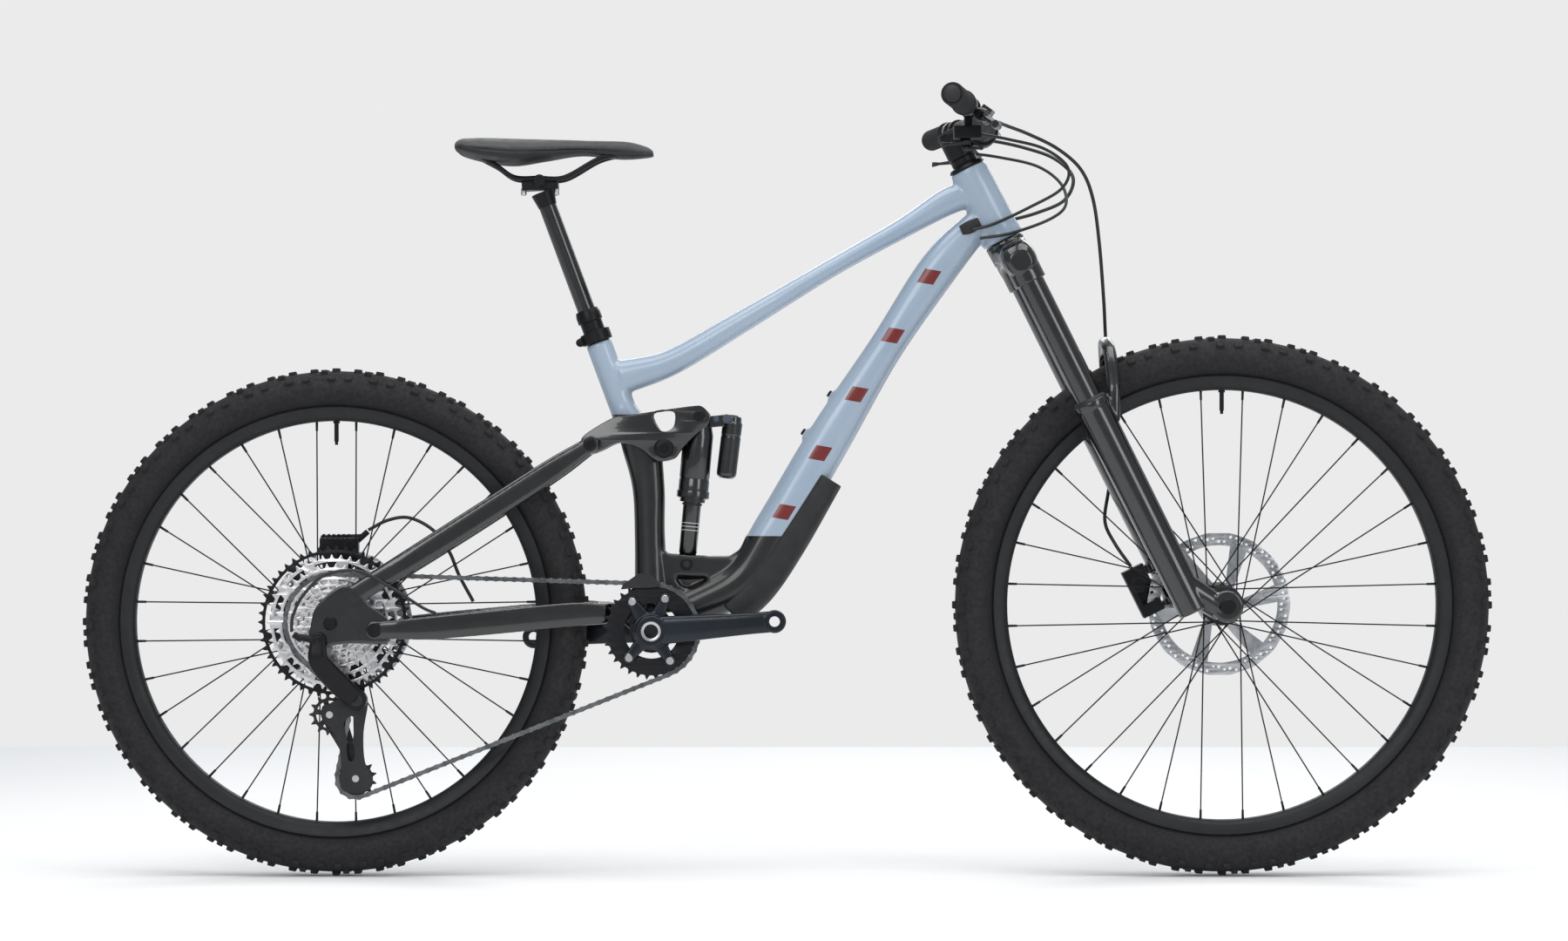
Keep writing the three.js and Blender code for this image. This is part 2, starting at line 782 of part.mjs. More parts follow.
function rim(name, centre, inner, lip) {
  add(name, turned([
    [inner, -8],
    [lip, -16.5],
    [lip, -13.2],
    [lip - 7, -13.2],
    [lip - 7, 13.2],
    [lip, 13.2],
    [lip, 16.5],
    [inner, 8],
  ], side(centre, 0), acrossAxis, WHEEL_SEGMENTS), BLACK, 0.5, 0.3);
}

// Spokes leaning both ways from each flange; the two leans run in planes side by side.
function spokes(centre, flangeR, innerR, rightY, leftY) {
  const LEAN = 62 * DEGREE;
  const PLANE = 1.3;
  const rimR = innerR * Math.cos(Math.PI / WHEEL_SEGMENTS) - 2 * GAP;
  return Array.from({ length: SPOKES }, (_, i) => {
    const rimAngle = ((i + 0.5) * 2 * Math.PI) / SPOKES;
    const lean = i % 4 < 2 ? 1 : -1;
    const hubAngle = rimAngle + lean * LEAN;
    const [hubY, rimY] = i % 2 ? [leftY, 2] : [rightY, -2];
    const on = (radius, angle, y) =>
      at(centre.x + radius * Math.cos(angle), y, centre.z + radius * Math.sin(angle));
    return rod(
      on(flangeR, hubAngle, hubY + lean * PLANE),
      on(rimR, rimAngle, rimY + lean * PLANE),
      1.1,
      3,
    );
  });
}

const REAR_RIM = 278;
const REAR_LIP = 298;
const FRONT_RIM = 298;
const FRONT_LIP = 318;
tyre("rear_tyre", rearAxle, REAR_LIP, 352, 30.5);
rim("rear_rim", rearAxle, REAR_RIM, REAR_LIP);
add("rear_spoked_hub", join(
  turned([
    [6.6, -73.6],
    [10, -73.6],
    [10, -70.2],
    [FREEHUB_R, -70.2],
    [FREEHUB_R, -26],
    [28, -25],
    [28, -20],
    [17, -15],
    [17, 26],
    [28, 29.5],
    [28, 34.5],
    [20, 56.7],
    [15.7, 56.7],
    [15.7, 61],
    [10, 61],
    [10, 73.6],
    [6.6, 73.6],
  ], side(rearAxle, 0), acrossAxis, 12),
  spokes(rearAxle, 25.5, REAR_RIM, -22.5, 32),
), BLACK, 0.4, 0.6);

tyre("front_tyre", frontAxle, FRONT_LIP, 375, 32);
rim("front_rim", frontAxle, FRONT_RIM, FRONT_LIP);
add("front_spoked_hub", join(
  turned([
    [8, -55],
    [11, -55],
    [11, -36],
    [27, -32.5],
    [27, -27.5],
    [15, -22],
    [15, 14],
    [27, 17.5],
    [27, 22.5],
    [20, 36.7],
    [15.7, 36.7],
    [15.7, 41],
    [11, 41],
    [11, 55],
    [8, 55],
  ], side(frontAxle, 0), acrossAxis, 12),
  spokes(frontAxle, 24.5, FRONT_RIM, -30, 20),
), BLACK, 0.4, 0.6);
const FRONT_AXLE_R = 7.5;
add("front_axle", join(
  cross(frontAxle, -86, 84, FRONT_AXLE_R, 12),
  cross(frontAxle, -86, -83, 11, 12),
), BLACK, 0.4, 0.7);

// A brake disc: a rim on six arms.
function rotor(name, centre, y) {
  const ARMS = 6;
  const windows = Array.from({ length: ARMS }, (_, arm) => {
    const corners = [[30, 14], [30, 46], [83, 58], [83, 36], [83, 14]];
    return corners.map(([radius, degrees]) => {
      const angle = (degrees + arm * 60) * DEGREE;
      return [centre.x + radius * Math.cos(angle), centre.z + radius * Math.sin(angle)];
    });
  });
  add(name, plate(circle(centre, ROTOR_R, 30), y - 1, y + 1, [circle(centre, 16.6, 14), ...windows]),
    STEEL, 0.3, 0.95);
}
rotor("rear_rotor", rearAxle, REAR_ROTOR_Y);
rotor("front_rotor", frontAxle, FRONT_ROTOR_Y);

add("rear_caliper", cut(
  join(
    block(at(-626, 59, 453), at(1, 0, 0), at(0, 1, 0), [32, 13, 20]),
    block(at(-626, 68, 446), at(1, 0, 0), at(0, 1, 0), [24, 6.5, 9]),
  ),
  cross(rearAxle, REAR_ROTOR_Y - 1.8, REAR_ROTOR_Y + 1.8, 102, 36),
  plate([[-640, 425], [-612, 425], [-612, 446], [-640, 446]], 50, 66),
), BLACK, 0.4, 0.5);

// ---- fork, places given along the steering axis, ahead of it and to the left ----
const STANCHION_FOOT = -385;
const LEG_R = 23.5;
const legBar = (hand, from, to, radius, sides, endRadius) =>
  rod(steerAt(from, LEG_FORE, hand * LEG_Y), steerAt(to, LEG_FORE, hand * LEG_Y), radius, sides,
    endRadius);
const crownRow = (y, along, high, deep) => ({
  centre: steerAt(along, y === 0 ? 1 : LEG_FORE, y),
  u: steerUp.clone().multiplyScalar(high),
  v: steerFore.clone().multiplyScalar(deep),
});
add("fork_upper", join(
  rod(steerAt(-30, 0, 0), steerAt(28, 0, 0), 19.5, 12),
  rod(steerAt(20, 0, 0), steerAt(167.5, 0, 0), 14.3, 12),
  rod(steerAt(-16, 0, 0), steerAt(-0.5, 0, 0), 28, 14),
  loft([
    crownRow(-90, -38, 14, 14),
    crownRow(-72, -34, 24, 24),
    crownRow(-38, -22, 15, 23),
    crownRow(0, -18, 14, 28),
    crownRow(38, -22, 15, 23),
    crownRow(72, -34, 24, 24),
    crownRow(90, -38, 14, 14),
  ], 10, 0.7),
  hands.map((hand) => join(
    legBar(hand, SLEEVE_FOOT, -30, 23, 14),
    legBar(hand, STANCHION_FOOT, -40, STANCHION_R, 14),
  )),
), BLACK, 0.25, 0.3);

const arch = [
  [-290, 21, 66],
  [-245, 43, 63],
  [-208, 58, 47],
  [-192, 63, 20],
];
const archPoints = [
  ...arch.map(([along, fore, y]) => steerAt(along, fore, -y)),
  ...arch.toReversed().map(([along, fore, y]) => steerAt(along, fore, y)),
];
add("fork_lowers", cut(
  join(
    hands.map((hand) => join(
      legBar(hand, -575, WIPER_TOP, LEG_R - 1, 12, LEG_R),
      legBar(hand, WIPER_TOP - 10, WIPER_TOP, 25, 12),
      rod(steerAt(-540, 8, hand * LEG_Y), steerAt(-590, 38, hand * LEG_Y), 19, 10, 17),
      sideBar(frontAxle, hand, 55.4, 82.6, 22, 14),
    )),
    cordAlong(archPoints, 9, 36, 8),
    block(steerAt(-500, -18, 52), steerUp, acrossAxis, [7, 8, 5.5]),
    block(steerAt(-556, -18, 52), steerUp, acrossAxis, [7, 8, 5.5]),
  ),
  hands.map((hand) => legBar(hand, -560, WIPER_TOP + 5, 19.9, 14)),
  cross(frontAxle, -55.3, 55.3, 34, 16),
  cross(frontAxle, -100, 100, FRONT_AXLE_R + GAP, 14),
  hands.map((hand) => sideBar(frontAxle, hand, 82.8, 100, 12)),
), BLACK, 0.25, 0.2);

add("front_caliper", cut(
  join(
    block(steerAt(-524, -41, 42), steerUp, acrossAxis, [36, 12.5, 17]),
    block(steerAt(-528, -30, 50), steerUp, acrossAxis, [34, 6, 6]),
  ),
  cross(frontAxle, FRONT_ROTOR_Y - 1.8, FRONT_ROTOR_Y + 1.8, 102, 36),
  block(steerAt(-530, -36, 38), steerUp, acrossAxis, [12, 9, 14]),
), BLACK, 0.4, 0.5);

// ---- stem and handlebar ----
const STEM_RISE = 148.7;
const STEM_REACH = 40.6;
const CLAMP_R = 17.5;
const barMiddle = steerAt(STEM_RISE, STEM_REACH, 0);
const barClamp = (radius, half) =>
  rod(barMiddle.clone().setY(-half), barMiddle.clone().setY(half), radius, 16);
const faceHalf = (fore) => block(steerAt(STEM_RISE, fore, 0), steerUp, acrossAxis, [40, 40, 30]);
add("stem", cut(
  join(
    rod(steerAt(128.4, 0, 0), steerAt(167, 0, 0), 19.5, 14),
    block(steerAt(STEM_RISE, 20, 0), steerUp, acrossAxis, [13, 15, 18]),
    barClamp(22.5, 24),
  ),
  rod(steerAt(120, 0, 0), steerAt(180, 0, 0), 14.3 + 0.6, 12),
  barClamp(CLAMP_R + GAP, 40),
  faceHalf(STEM_REACH + 30.5),
), BLACK, 0.4, 0.6);
add("stem_faceplate", cut(
  barClamp(22.5, 23),
  barClamp(CLAMP_R + GAP, 40),
  faceHalf(STEM_REACH - 28.8),
), BLACK, 0.4, 0.6);
add("steerer_spacers", turned([
  [14.3 + GAP, HEAD_LENGTH + 0.4],
  [26, HEAD_LENGTH + 0.4],
  [24, HEAD_LENGTH + 5],
  [18, HEAD_LENGTH + 7],
  [18, 128],
  [14.3 + GAP, 128],
], headFoot, steerUp, 16), BLACK, 0.5, 0.4);

// The bar's middle line on one side, as [distance from the middle, x, z].
const barPoints = [
  [0, 270, 1032],
  [30, 270, 1032],
  [78, 262, 1042],
  [125, 254.5, 1049],
  [BAR_HALF, 213, 1050],
];
const barAt = (reach, hand) => {
  const beyond = barPoints.findIndex(([y]) => y >= reach);
  const i = beyond < 0 ? barPoints.length - 1 : Math.max(1, beyond);
  const [y0, x0, z0] = barPoints[i - 1];
  const [y1, x1, z1] = barPoints[i];
  const share = (reach - y0) / (y1 - y0);
  return at(x0 + share * (x1 - x0), hand * reach, z0 + share * (z1 - z0));
};
const barRow = (hand, reach, radius) => ({
  centre: barAt(reach, hand),
  u: at(radius, 0, 0),
  v: at(0, 0, radius),
});
const BAR_R = 11.1;
const barSizes = [[30, 17.4], [78, 14], [125, BAR_R], [BAR_HALF, BAR_R]];
add("handlebar", loft([
  ...barSizes.toReversed().map(([reach, radius]) => barRow(-1, reach, radius)),
  ...barSizes.map(([reach, radius]) => barRow(1, reach, radius)),
], 16), MATTE, 0.5, 0.3);

const foreDown = at(0.82, 0, -0.572).normalize();
for (const [name, hand] of [["right", -1], ["left", 1]]) {
  const outward = barAt(380, hand).sub(barAt(200, hand)).normalize();
  const upright = foreDown.clone().cross(outward).normalize();
  // A point by its reach along the bar and its distance ahead of the bar and above the lever plane.
  const near = (reach, fore, rise = 0) => barAt(reach, hand).clone()
    .addScaledVector(foreDown, fore).addScaledVector(upright, rise);
  const collar = (reach, half, radius) =>
    rod(near(reach - half, 0), near(reach + half, 0), radius, 14);
  add("grip_" + name, cut(
    join(
      rod(near(258, 0), near(386, 0), 15.5, 16),
      rod(near(256, 0), near(262, 0), 17, 16),
    ),
    rod(near(240, 0), near(400, 0), BAR_R + GAP, 16),
  ), RUBBER, 0.85, 0);
  add("brake_body_" + name, cut(
    join(
      collar(228, 6, 15.5),
      rod(near(190, 28), near(248, 26), 8.5, 8, 10),
      rod(near(190, 28), near(178, 28), 4.5, 6),
      block(near(228, 16), outward, upright, [6, 6, 8]),
      block(near(214, 26, hand * 8), outward, foreDown, [18, 8, 7]),
    ),
    collar(228, 30, BAR_R + GAP),
    block(near(250, 36), outward, upright, [14, 4.4, 13]),
  ), BLACK, 0.35, 0.3);
  const leverPin = near(243, 31);
  const bladeRow = (reach, fore, deep, high) => ({
    centre: near(reach, fore),
    u: foreDown.clone().multiplyScalar(deep),
    v: upright.clone().multiplyScalar(high),
  });
  add("brake_lever_" + name, join(
    rod(leverPin.clone().addScaledVector(upright, -4), leverPin.clone().addScaledVector(upright, 4),
      6, 12),
    loft([
      bladeRow(245, 33, 5, 3.6),
      bladeRow(270, 56, 6, 4),
      bladeRow(300, 60, 5, 6),
      bladeRow(338, 61, 5.5, 6),
    ], 10, 0.7),
  ), BLACK, 0.35, 0.4);
}

// ---- shifter and dropper remote, under the bar inboard of the brakes ----
const REMOTE_REACH = 186;
const REMOTE_HALF = 5;
for (const [name, hand] of [["shifter_body", -1], ["dropper_remote_body", 1]]) {
  const wide = hand < 0 ? 15 : 9;
  const hang = barAt(REMOTE_REACH - 6, hand).clone().add(at(-4, 0, -33));
  add(name, cut(
    join(
      rod(barAt(REMOTE_REACH - REMOTE_HALF, hand), barAt(REMOTE_REACH + REMOTE_HALF, hand), 15, 12),
      block(barAt(REMOTE_REACH, hand).clone().add(at(-2, 0, -18)), at(1, 0, 0), acrossAxis, [6, 5, 9]),
      block(hang, at(1, 0, 0), acrossAxis, [wide + 4, wide, 9]),
    ),
    rod(barAt(REMOTE_REACH - 30, hand), barAt(REMOTE_REACH + 30, hand), BAR_R + GAP, 14),
  ), BLACK, 0.45, 0.2);
}

// A thumb paddle: a hub under the body, an arm and a pad.
function paddle(name, hub, pad, padHalves, hubHigh) {
  const arm = pad.clone().sub(hub);
  const armRow = (centre, wide, high) => ({
    centre,
    u: acrossAxis.clone().multiplyScalar(wide),
    v: at(0, 0, high),
  });
  add(name, join(
    rod(hub.clone().add(at(0, 0, -hubHigh / 2)), hub.clone().add(at(0, 0, hubHigh / 2)), 7, 10),
    loft([
      armRow(hub, 5, hubHigh / 2),
      armRow(hub.clone().addScaledVector(arm, 0.7), 4, 2),
      armRow(pad, padHalves[0], padHalves[1]),
    ], 8, 0.7),
  ), BLACK, 0.5, 0.2);
}
const shifterHub = barAt(REMOTE_REACH - 6, -1).clone().add(at(-6, 0, -46));
paddle("shift_paddle_main", shifterHub, shifterHub.clone().add(at(-33, -16, -5)), [9, 4], 6);
const releaseHub = shifterHub.clone().add(at(2, 0, -9));
paddle("shift_paddle_release", releaseHub, releaseHub.clone().add(at(20, -30, -1)), [6, 3], 5);
const dropperHub = barAt(REMOTE_REACH - 6, 1).clone().add(at(-4, 0, -46));
paddle("dropper_lever", dropperHub, dropperHub.clone().add(at(-34, 14, -3)), [9, 4], 6);

// ---- saddle, rails and the sliding post ----
const RAIL_R = 3.5;
const railSide = [
  [-436, 38, 1001],
  [-404, 32, 984],
  [-378, 23, 967],
  [-344, 22, 966],
  [-308, 22, 967],
  [-262, 20, 992],
  [-228, 11, 1000],
];
const railPoints = [
  ...railSide.map(([x, y, z]) => at(x, -y, z)),
  at(-218, 0, 1001),
  ...railSide.toReversed().map(([x, y, z]) => at(x, y, z)),
];
const RAIL_STEP = 17;
add("saddle_rails", cordAlong(railPoints, RAIL_R, RAIL_STEP, 6), BLACK, 0.35, 0.6);
const railRoom = cordAlong(railPoints, RAIL_R + 0.6, RAIL_STEP, 6);
const saddleRow = (x, top, foot, wide) => ({
  centre: at(x, 0, (top + foot) / 2),
  u: at(0, 0, (top - foot) / 2),
  v: at(0, wide, 0),
});
add("saddle", cut(
  loft([
    saddleRow(-461, 1017, 1005, 42),
    saddleRow(-452, 1022, 997, 62),
    saddleRow(-420, 1022, 988, 70),
    saddleRow(-380, 1021, 983, 65),
    saddleRow(-335, 1021, 989, 45),
    saddleRow(-285, 1021, 996, 28),
    saddleRow(-230, 1020, 991, 20),
    saddleRow(-196, 1012, 993, 17),
    saddleRow(-184, 1005, 996, 10),
  ], 12, 0.8),
  railRoom,
), MATTE, 0.8, 0);
add("dropper_stanchion", cut(
  join(
    rod(seatAt(-22), seatAt(212), POST_R, 12),
    rod(seatAt(200), seatAt(222), 13, 12, 17),
    block(at(-343, 0, 959), at(0.998, 0, 0.06).normalize(), acrossAxis, [27, 20, 9]),
    block(at(-343, 0, 963), at(0.998, 0, 0.06).normalize(), acrossAxis, [16, 28, 7.5]),
  ),
  railRoom,
), BLACK, 0.3, 0.6);

// ---- cords ----
const HOSE_R = 2.5;
const HOUSING_R = 2.2;
const hose = (name, rows, radius = HOSE_R) =>
  add(name, cordAlong(rows.map(([x, y, z]) => at(x, y, z)), radius, radius * 6, 8), MATTE, 0.6, 0);
hose("front_brake_hose", [
  [285, -174, 1030],
  [296, -150, 1028],
  [330, -100, 1020],
  [372, -52, 1004],
  [406, -20, 978],
  [425, 12, 940],
  [436, 40, 880],
  [444, 62, 800],
  [449, 82, 735],
  [459, 97, 640],
  [462, 96, 580],
  [452, 84, 530],
  [446, 66, 490],
  [458, 48, 460],
  [480.2, 42, 427.4],
]);
hose("rear_brake_hose", [
  [285, 174, 1030],
  [296, 150, 1030],
  [335, 110, 1018],
  [375, 72, 1000],
  [400, 50, 972],
  [388, 42, 940],
  [350, 40, 922],
  [310, 37, 911],
  [291, 33, 907],
]);
hose("shift_housing", [
  [262, -150, 1016],
  [300, -118, 1012],
  [352, -78, 1002],
  [386, -52, 978],
  [378, -42, 950],
  [335, -38, 925],
  [285, -33, 902],
  [256, -28.5, 894],
], HOUSING_R);
hose("dropper_housing", [
  [258, 158, 1014],
  [300, 128, 1006],
  [352, 84, 990],
  [382, 34, 962],
  [386, -8, 930],
  [362, -42, 908],
  [310, -43, 889],
  [266, -31, 882],
], HOUSING_R);
hose("rear_brake_hose_rear", [
  [-588, 62, 478],
  [-560, 64, 492],
  [-530, 64, 495],
  [-497, 58, 478],
  [-474, 54, 448],
  [-460, 52, 415],
  [-440, 52, 378],
]);
hose("shift_housing_rear", [
  [-678, -90, 341],
  [-676, -91, 362],
  [-664, -90, 388],
  [-640, -88, 414],
  [-612, -88, 424],
  [-580, -88, 422],
  [-540, -86, 400],
  [-500, -80, 374],
  [-482, -76, 366],
], HOUSING_R);
export default group;
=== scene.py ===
# A full-suspension mountain bike: the looks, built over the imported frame. Metres, +X forward.
import json
import math

import bmesh
import bpy
import numpy as np
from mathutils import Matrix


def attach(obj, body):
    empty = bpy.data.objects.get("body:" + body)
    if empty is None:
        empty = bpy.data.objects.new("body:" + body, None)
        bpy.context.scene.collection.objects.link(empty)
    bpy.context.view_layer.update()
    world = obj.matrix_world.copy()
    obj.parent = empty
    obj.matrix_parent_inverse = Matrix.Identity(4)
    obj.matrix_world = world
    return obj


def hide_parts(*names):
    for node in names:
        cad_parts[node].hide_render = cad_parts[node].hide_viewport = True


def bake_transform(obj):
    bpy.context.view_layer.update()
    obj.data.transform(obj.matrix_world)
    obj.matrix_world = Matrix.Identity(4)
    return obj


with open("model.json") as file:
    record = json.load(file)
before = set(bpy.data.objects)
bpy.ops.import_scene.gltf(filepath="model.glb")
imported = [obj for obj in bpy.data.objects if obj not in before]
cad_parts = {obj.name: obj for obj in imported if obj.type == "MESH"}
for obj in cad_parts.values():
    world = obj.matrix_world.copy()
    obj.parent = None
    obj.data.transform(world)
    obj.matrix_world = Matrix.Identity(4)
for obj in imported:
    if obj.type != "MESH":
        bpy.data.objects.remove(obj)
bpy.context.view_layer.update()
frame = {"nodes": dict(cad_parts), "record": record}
scene = bpy.context.scene
MM = 0.001


# ---- camera, floor and light ----
EYE = (-0.0047, -5.8, 0.5615)
SENSOR_MM, LENS_MM = 36, 95.9
lens = bpy.data.cameras.new("view")
lens.sensor_width = SENSOR_MM
lens.lens = LENS_MM
camera = bpy.data.objects.new("view", lens)
camera.location = EYE
camera.rotation_euler = (math.radians(90), 0, 0)
scene.collection.objects.link(camera)
scene.camera = camera
scene.view_settings.view_transform = "Standard"


def area_light(name, place, aim, size, watts):
    data = bpy.data.lights.new(name, "AREA")
    data.shape = "RECTANGLE"
    data.size, data.size_y = size
    data.energy = watts
    light = bpy.data.objects.new(name, data)
    light.location = place
    direction = np.subtract(aim, place)
    flat = math.hypot(direction[0], direction[1])
    light.rotation_euler = (
        math.atan2(flat, -direction[2]), 0, math.atan2(direction[1], direction[0]) - math.pi / 2)
    scene.collection.objects.link(light)


area_light("sky_panel", (0.0, -0.6, 3.6), (0, 0, 0.4), (4.5, 3.0), 120)
area_light("front_panel", (-1.8, -4.6, 2.4), (0, 0, 0.5), (2.4, 1.8), 52)
area_light("edge_panel", (2.6, -3.2, 1.6), (0.2, 0, 0.5), (1.2, 2.2), 30)
area_light("back_panel", (0.6, 3.4, 2.6), (0, 0, 0.5), (3.4, 1.6), 45)
world = bpy.data.worlds.new("studio")
scene.world = world
world.use_nodes = True
back = world.node_tree.nodes["Background"]
back.inputs[0].default_value = (0.83, 0.83, 0.835, 1)
back.inputs[1].default_value = 1.0
room = world.node_tree.nodes.new("ShaderNodeBackground")
room.inputs[0].default_value = (0.9, 0.95, 1.0, 1)
room.inputs[1].default_value = 0.42
seen = world.node_tree.nodes.new("ShaderNodeLightPath")
either = world.node_tree.nodes.new("ShaderNodeMixShader")
world.node_tree.links.new(seen.outputs["Is Camera Ray"], either.inputs[0])
world.node_tree.links.new(room.outputs[0], either.inputs[1])
world.node_tree.links.new(back.outputs[0], either.inputs[2])
world.node_tree.links.new(either.outputs[0], world.node_tree.nodes["World Output"].inputs[0])


# ---- meshes: each builder gives (vertices in millimetres, faces) ----
def vec(x, y, z):
    return np.array([x, y, z], float)


def unit(v):
    return v / np.linalg.norm(v)


def merged(*parts):
    places, faces, start = [], [], 0
    for points, polygons in parts:
        places.append(np.asarray(points, float))
        faces += [tuple(i + start for i in polygon) for polygon in polygons]
        start += len(points)
    return np.concatenate(places), faces


def skin(rings, closed=False):
    """Quads between rings of equal length."""
    n = len(rings[0])
    faces = []
    count = len(rings)
    for r in range(count if closed else count - 1):
        a, b = r * n, ((r + 1) % count) * n
        faces += [(a + i, a + (i + 1) % n, b + (i + 1) % n, b + i) for i in range(n)]
    if not closed:
        faces.append(tuple(reversed(range(n))))
        faces.append(tuple(range((count - 1) * n, count * n)))
    return np.concatenate(rings), faces


def spline(p0, p1, p2, p3, t):
    """A Catmull-Rom point between p1 and p2."""
    return 0.5 * (2 * p1 + (p2 - p0) * t + (2 * p0 - 5 * p1 + 4 * p2 - p3) * t * t
                  + (3 * p1 - p0 - 3 * p2 + p3) * t ** 3)


def smooth_path(points, per_span=8):
    """A Catmull-Rom curve through points of any dimension."""
    given = np.asarray(points, float)
    padded = np.vstack([2 * given[0] - given[1], given, 2 * given[-1] - given[-2]])
    out = []
    for i in range(1, len(padded) - 2):
        out += [spline(*padded[i - 1:i + 3], t) for t in np.linspace(0, 1, per_span, endpoint=False)]
    out.append(given[-1])
    return np.array(out)


def oval(centre, u, v, sides=40, squareness=1.0):
    angles = np.linspace(0, 2 * math.pi, sides, endpoint=False)
    c, s = np.cos(angles), np.sin(angles)
    c = np.sign(c) * np.abs(c) ** squareness
    s = np.sign(s) * np.abs(s) ** squareness
    return centre + np.outer(c, u) + np.outer(s, v)


def mid_tube(rows, sides=40, squareness=0.8):
    """Oval sections along the mid-plane: rows of x, z, half height, half width and y."""
    rows = smooth_path([list(row) + [0] * (5 - len(row)) for row in rows])
    centres = np.stack([rows[:, 0], rows[:, 4], rows[:, 1]], 1)
    rings = []
    for i, row in enumerate(rows):
        along = centres[min(i + 1, len(rows) - 1)] - centres[max(i - 1, 0)]
        along = unit(along * (1, 0, 1))
        rings.append(oval(centres[i], vec(-along[2], 0, along[0]) * row[2], vec(0, row[3], 0),
                          sides, squareness))
    return skin(rings)


def across(direction):
    first = np.cross(direction, (0, 0, 1) if abs(direction[2]) < 0.9 else (1, 0, 0))
    first = unit(first)
    return first, np.cross(direction, first)


def rod(start, end, radius, sides=32, end_radius=None, bevel=0.6):
    """A round bar with softened ends."""
    along = unit(end - start)
    u, v = across(along)
    last = radius if end_radius is None else end_radius
    soft = min(bevel, radius * 0.4, np.linalg.norm(end - start) * 0.3)
    radii = (radius - soft, radius, last, last - soft)
    places = (start, start + along * soft, end - along * soft, end)
    rings = [oval(p, u * r, v * r, sides) for p, r in zip(places, radii)]
    return skin(rings)


def cross(place, y0, y1, radius, sides=40, bevel=0.6):
    return rod(vec(place[0], y0, place[1]), vec(place[0], y1, place[1]), radius, sides, None, bevel)


def turned(profile, place, axis=(0, 1, 0), sides=64, closed=True):
    """A profile of radius and height turned about an axis; closed joins its last point to its first."""
    axis = unit(np.asarray(axis, float))
    u, v = across(axis)
    rings = []
    for radius, height in profile:
        rings.append(oval(np.asarray(place, float) + axis * height, u * max(radius, 0.01),
                          v * max(radius, 0.01), sides))
    return skin(rings, closed=closed)


def pipe(points, radius, sides=16, per_span=8):
    """A round tube along a smooth path, with a frame that doesn't twist."""
    path = smooth_path(points, per_span)
    radii = np.full(len(path), radius) if np.isscalar(radius) else smooth_path(
        np.reshape(radius, (-1, 1)), per_span)[:, 0]
    tangents = np.gradient(path, axis=0)
    normal = across(unit(tangents[0]))[0]
    rings = []
    for point, tangent, size in zip(path, tangents, radii):
        tangent = unit(tangent)
        normal = unit(normal - tangent * np.dot(normal, tangent))
        rings.append(oval(point, normal * size, np.cross(tangent, normal) * size, sides))
    return skin(rings)


def box_of(centre, first, second, halves):
    third = np.cross(first, second)
    corners = [(x, y, z) for x in (-1, 1) for y in (-1, 1) for z in (-1, 1)]
    points = [centre + first * halves[0] * x + second * halves[1] * y + third * halves[2] * z
              for x, y, z in corners]
    return np.array(points), [(0, 1, 3, 2), (4, 6, 7, 5), (0, 4, 5, 1), (2, 3, 7, 6),
                              (0, 2, 6, 4), (1, 5, 7, 3)]


def polar(centre, radius, angle):
    """The x and z of a point at a radius and an angle about a centre."""
    return centre[0] + radius * math.cos(angle), centre[1] + radius * math.sin(angle)


def circle(place, radius, sides=48):
    return [polar(place, radius, 2 * math.pi * i / sides) for i in range(sides)]


def plate(outline, y0, y1, holes=(), bevel=0.3):
    """A flat plate from an outline of x and z, with holes and softened edges."""
    curve = bpy.data.curves.new("outline", "CURVE")
    curve.dimensions = "2D"
    curve.fill_mode = "BOTH"
    half = abs(y1 - y0) / 2
    soft = min(bevel, half * 0.8)
    curve.extrude = (half - soft) * MM
    curve.bevel_depth = soft * MM
    curve.bevel_resolution = 1
    curve.offset = -soft * MM
    for loop in [outline, *holes]:
        spline = curve.splines.new("POLY")
        spline.points.add(len(loop) - 1)
        for point, (x, z) in zip(spline.points, loop):
            point.co = (x * MM, z * MM, 0, 1)
        spline.use_cyclic_u = True
    holder = bpy.data.objects.new("outline", curve)
    made = bpy.data.meshes.new_from_object(holder)
    places = np.empty(len(made.vertices) * 3)
    made.vertices.foreach_get("co", places)
    places = places.reshape(-1, 3) / MM
    faces = [tuple(reversed(p.vertices)) for p in made.polygons]
    bpy.data.objects.remove(holder)
    bpy.data.curves.remove(curve)
    bpy.data.meshes.remove(made)
    middle = (y0 + y1) / 2
    return np.stack([places[:, 0], middle + places[:, 2], places[:, 1]], 1), faces


def rounded(outline, per_span=5):
    """A closed outline with its corners drawn as a smooth curve."""
    loop = np.asarray(outline, float)
    n = len(loop)
    out = []
    for i in range(n):
        near_by = [loop[(i + k - 1) % n] for k in range(4)]
        out += [tuple(spline(*near_by, t)) for t in np.linspace(0, 1, per_span, endpoint=False)]
    return out


def mesh_of(name, shape):
    points, faces = shape
    made = bpy.data.meshes.new(name)
    made.from_pydata([tuple(p) for p in np.asarray(points) * MM], [], faces)
    made.validate()
    made.update()
    return made


def modify(holder, kind, bake=True, **settings):
    """Adds a modifier with these settings, and applies it."""
    added = holder.modifiers.new(kind.lower(), kind)
    for key, value in settings.items():
        setattr(added, key, value)
    if bake:
        baked(holder)
    return added


def baked(holder):
    graph = bpy.context.evaluated_depsgraph_get()
    made = bpy.data.meshes.new_from_object(holder.evaluated_get(graph))
    old = holder.data
    holder.modifiers.clear()
    holder.data = made
    bpy.data.meshes.remove(old)


def outward(holder):
    """Faces turned to look out of the piece."""
    work = bmesh.new()
    work.from_mesh(holder.data)
    bmesh.ops.remove_doubles(work, verts=work.verts, dist=1e-6)
    bmesh.ops.recalc_face_normals(work, faces=work.faces)
    work.to_mesh(holder.data)
    work.free()


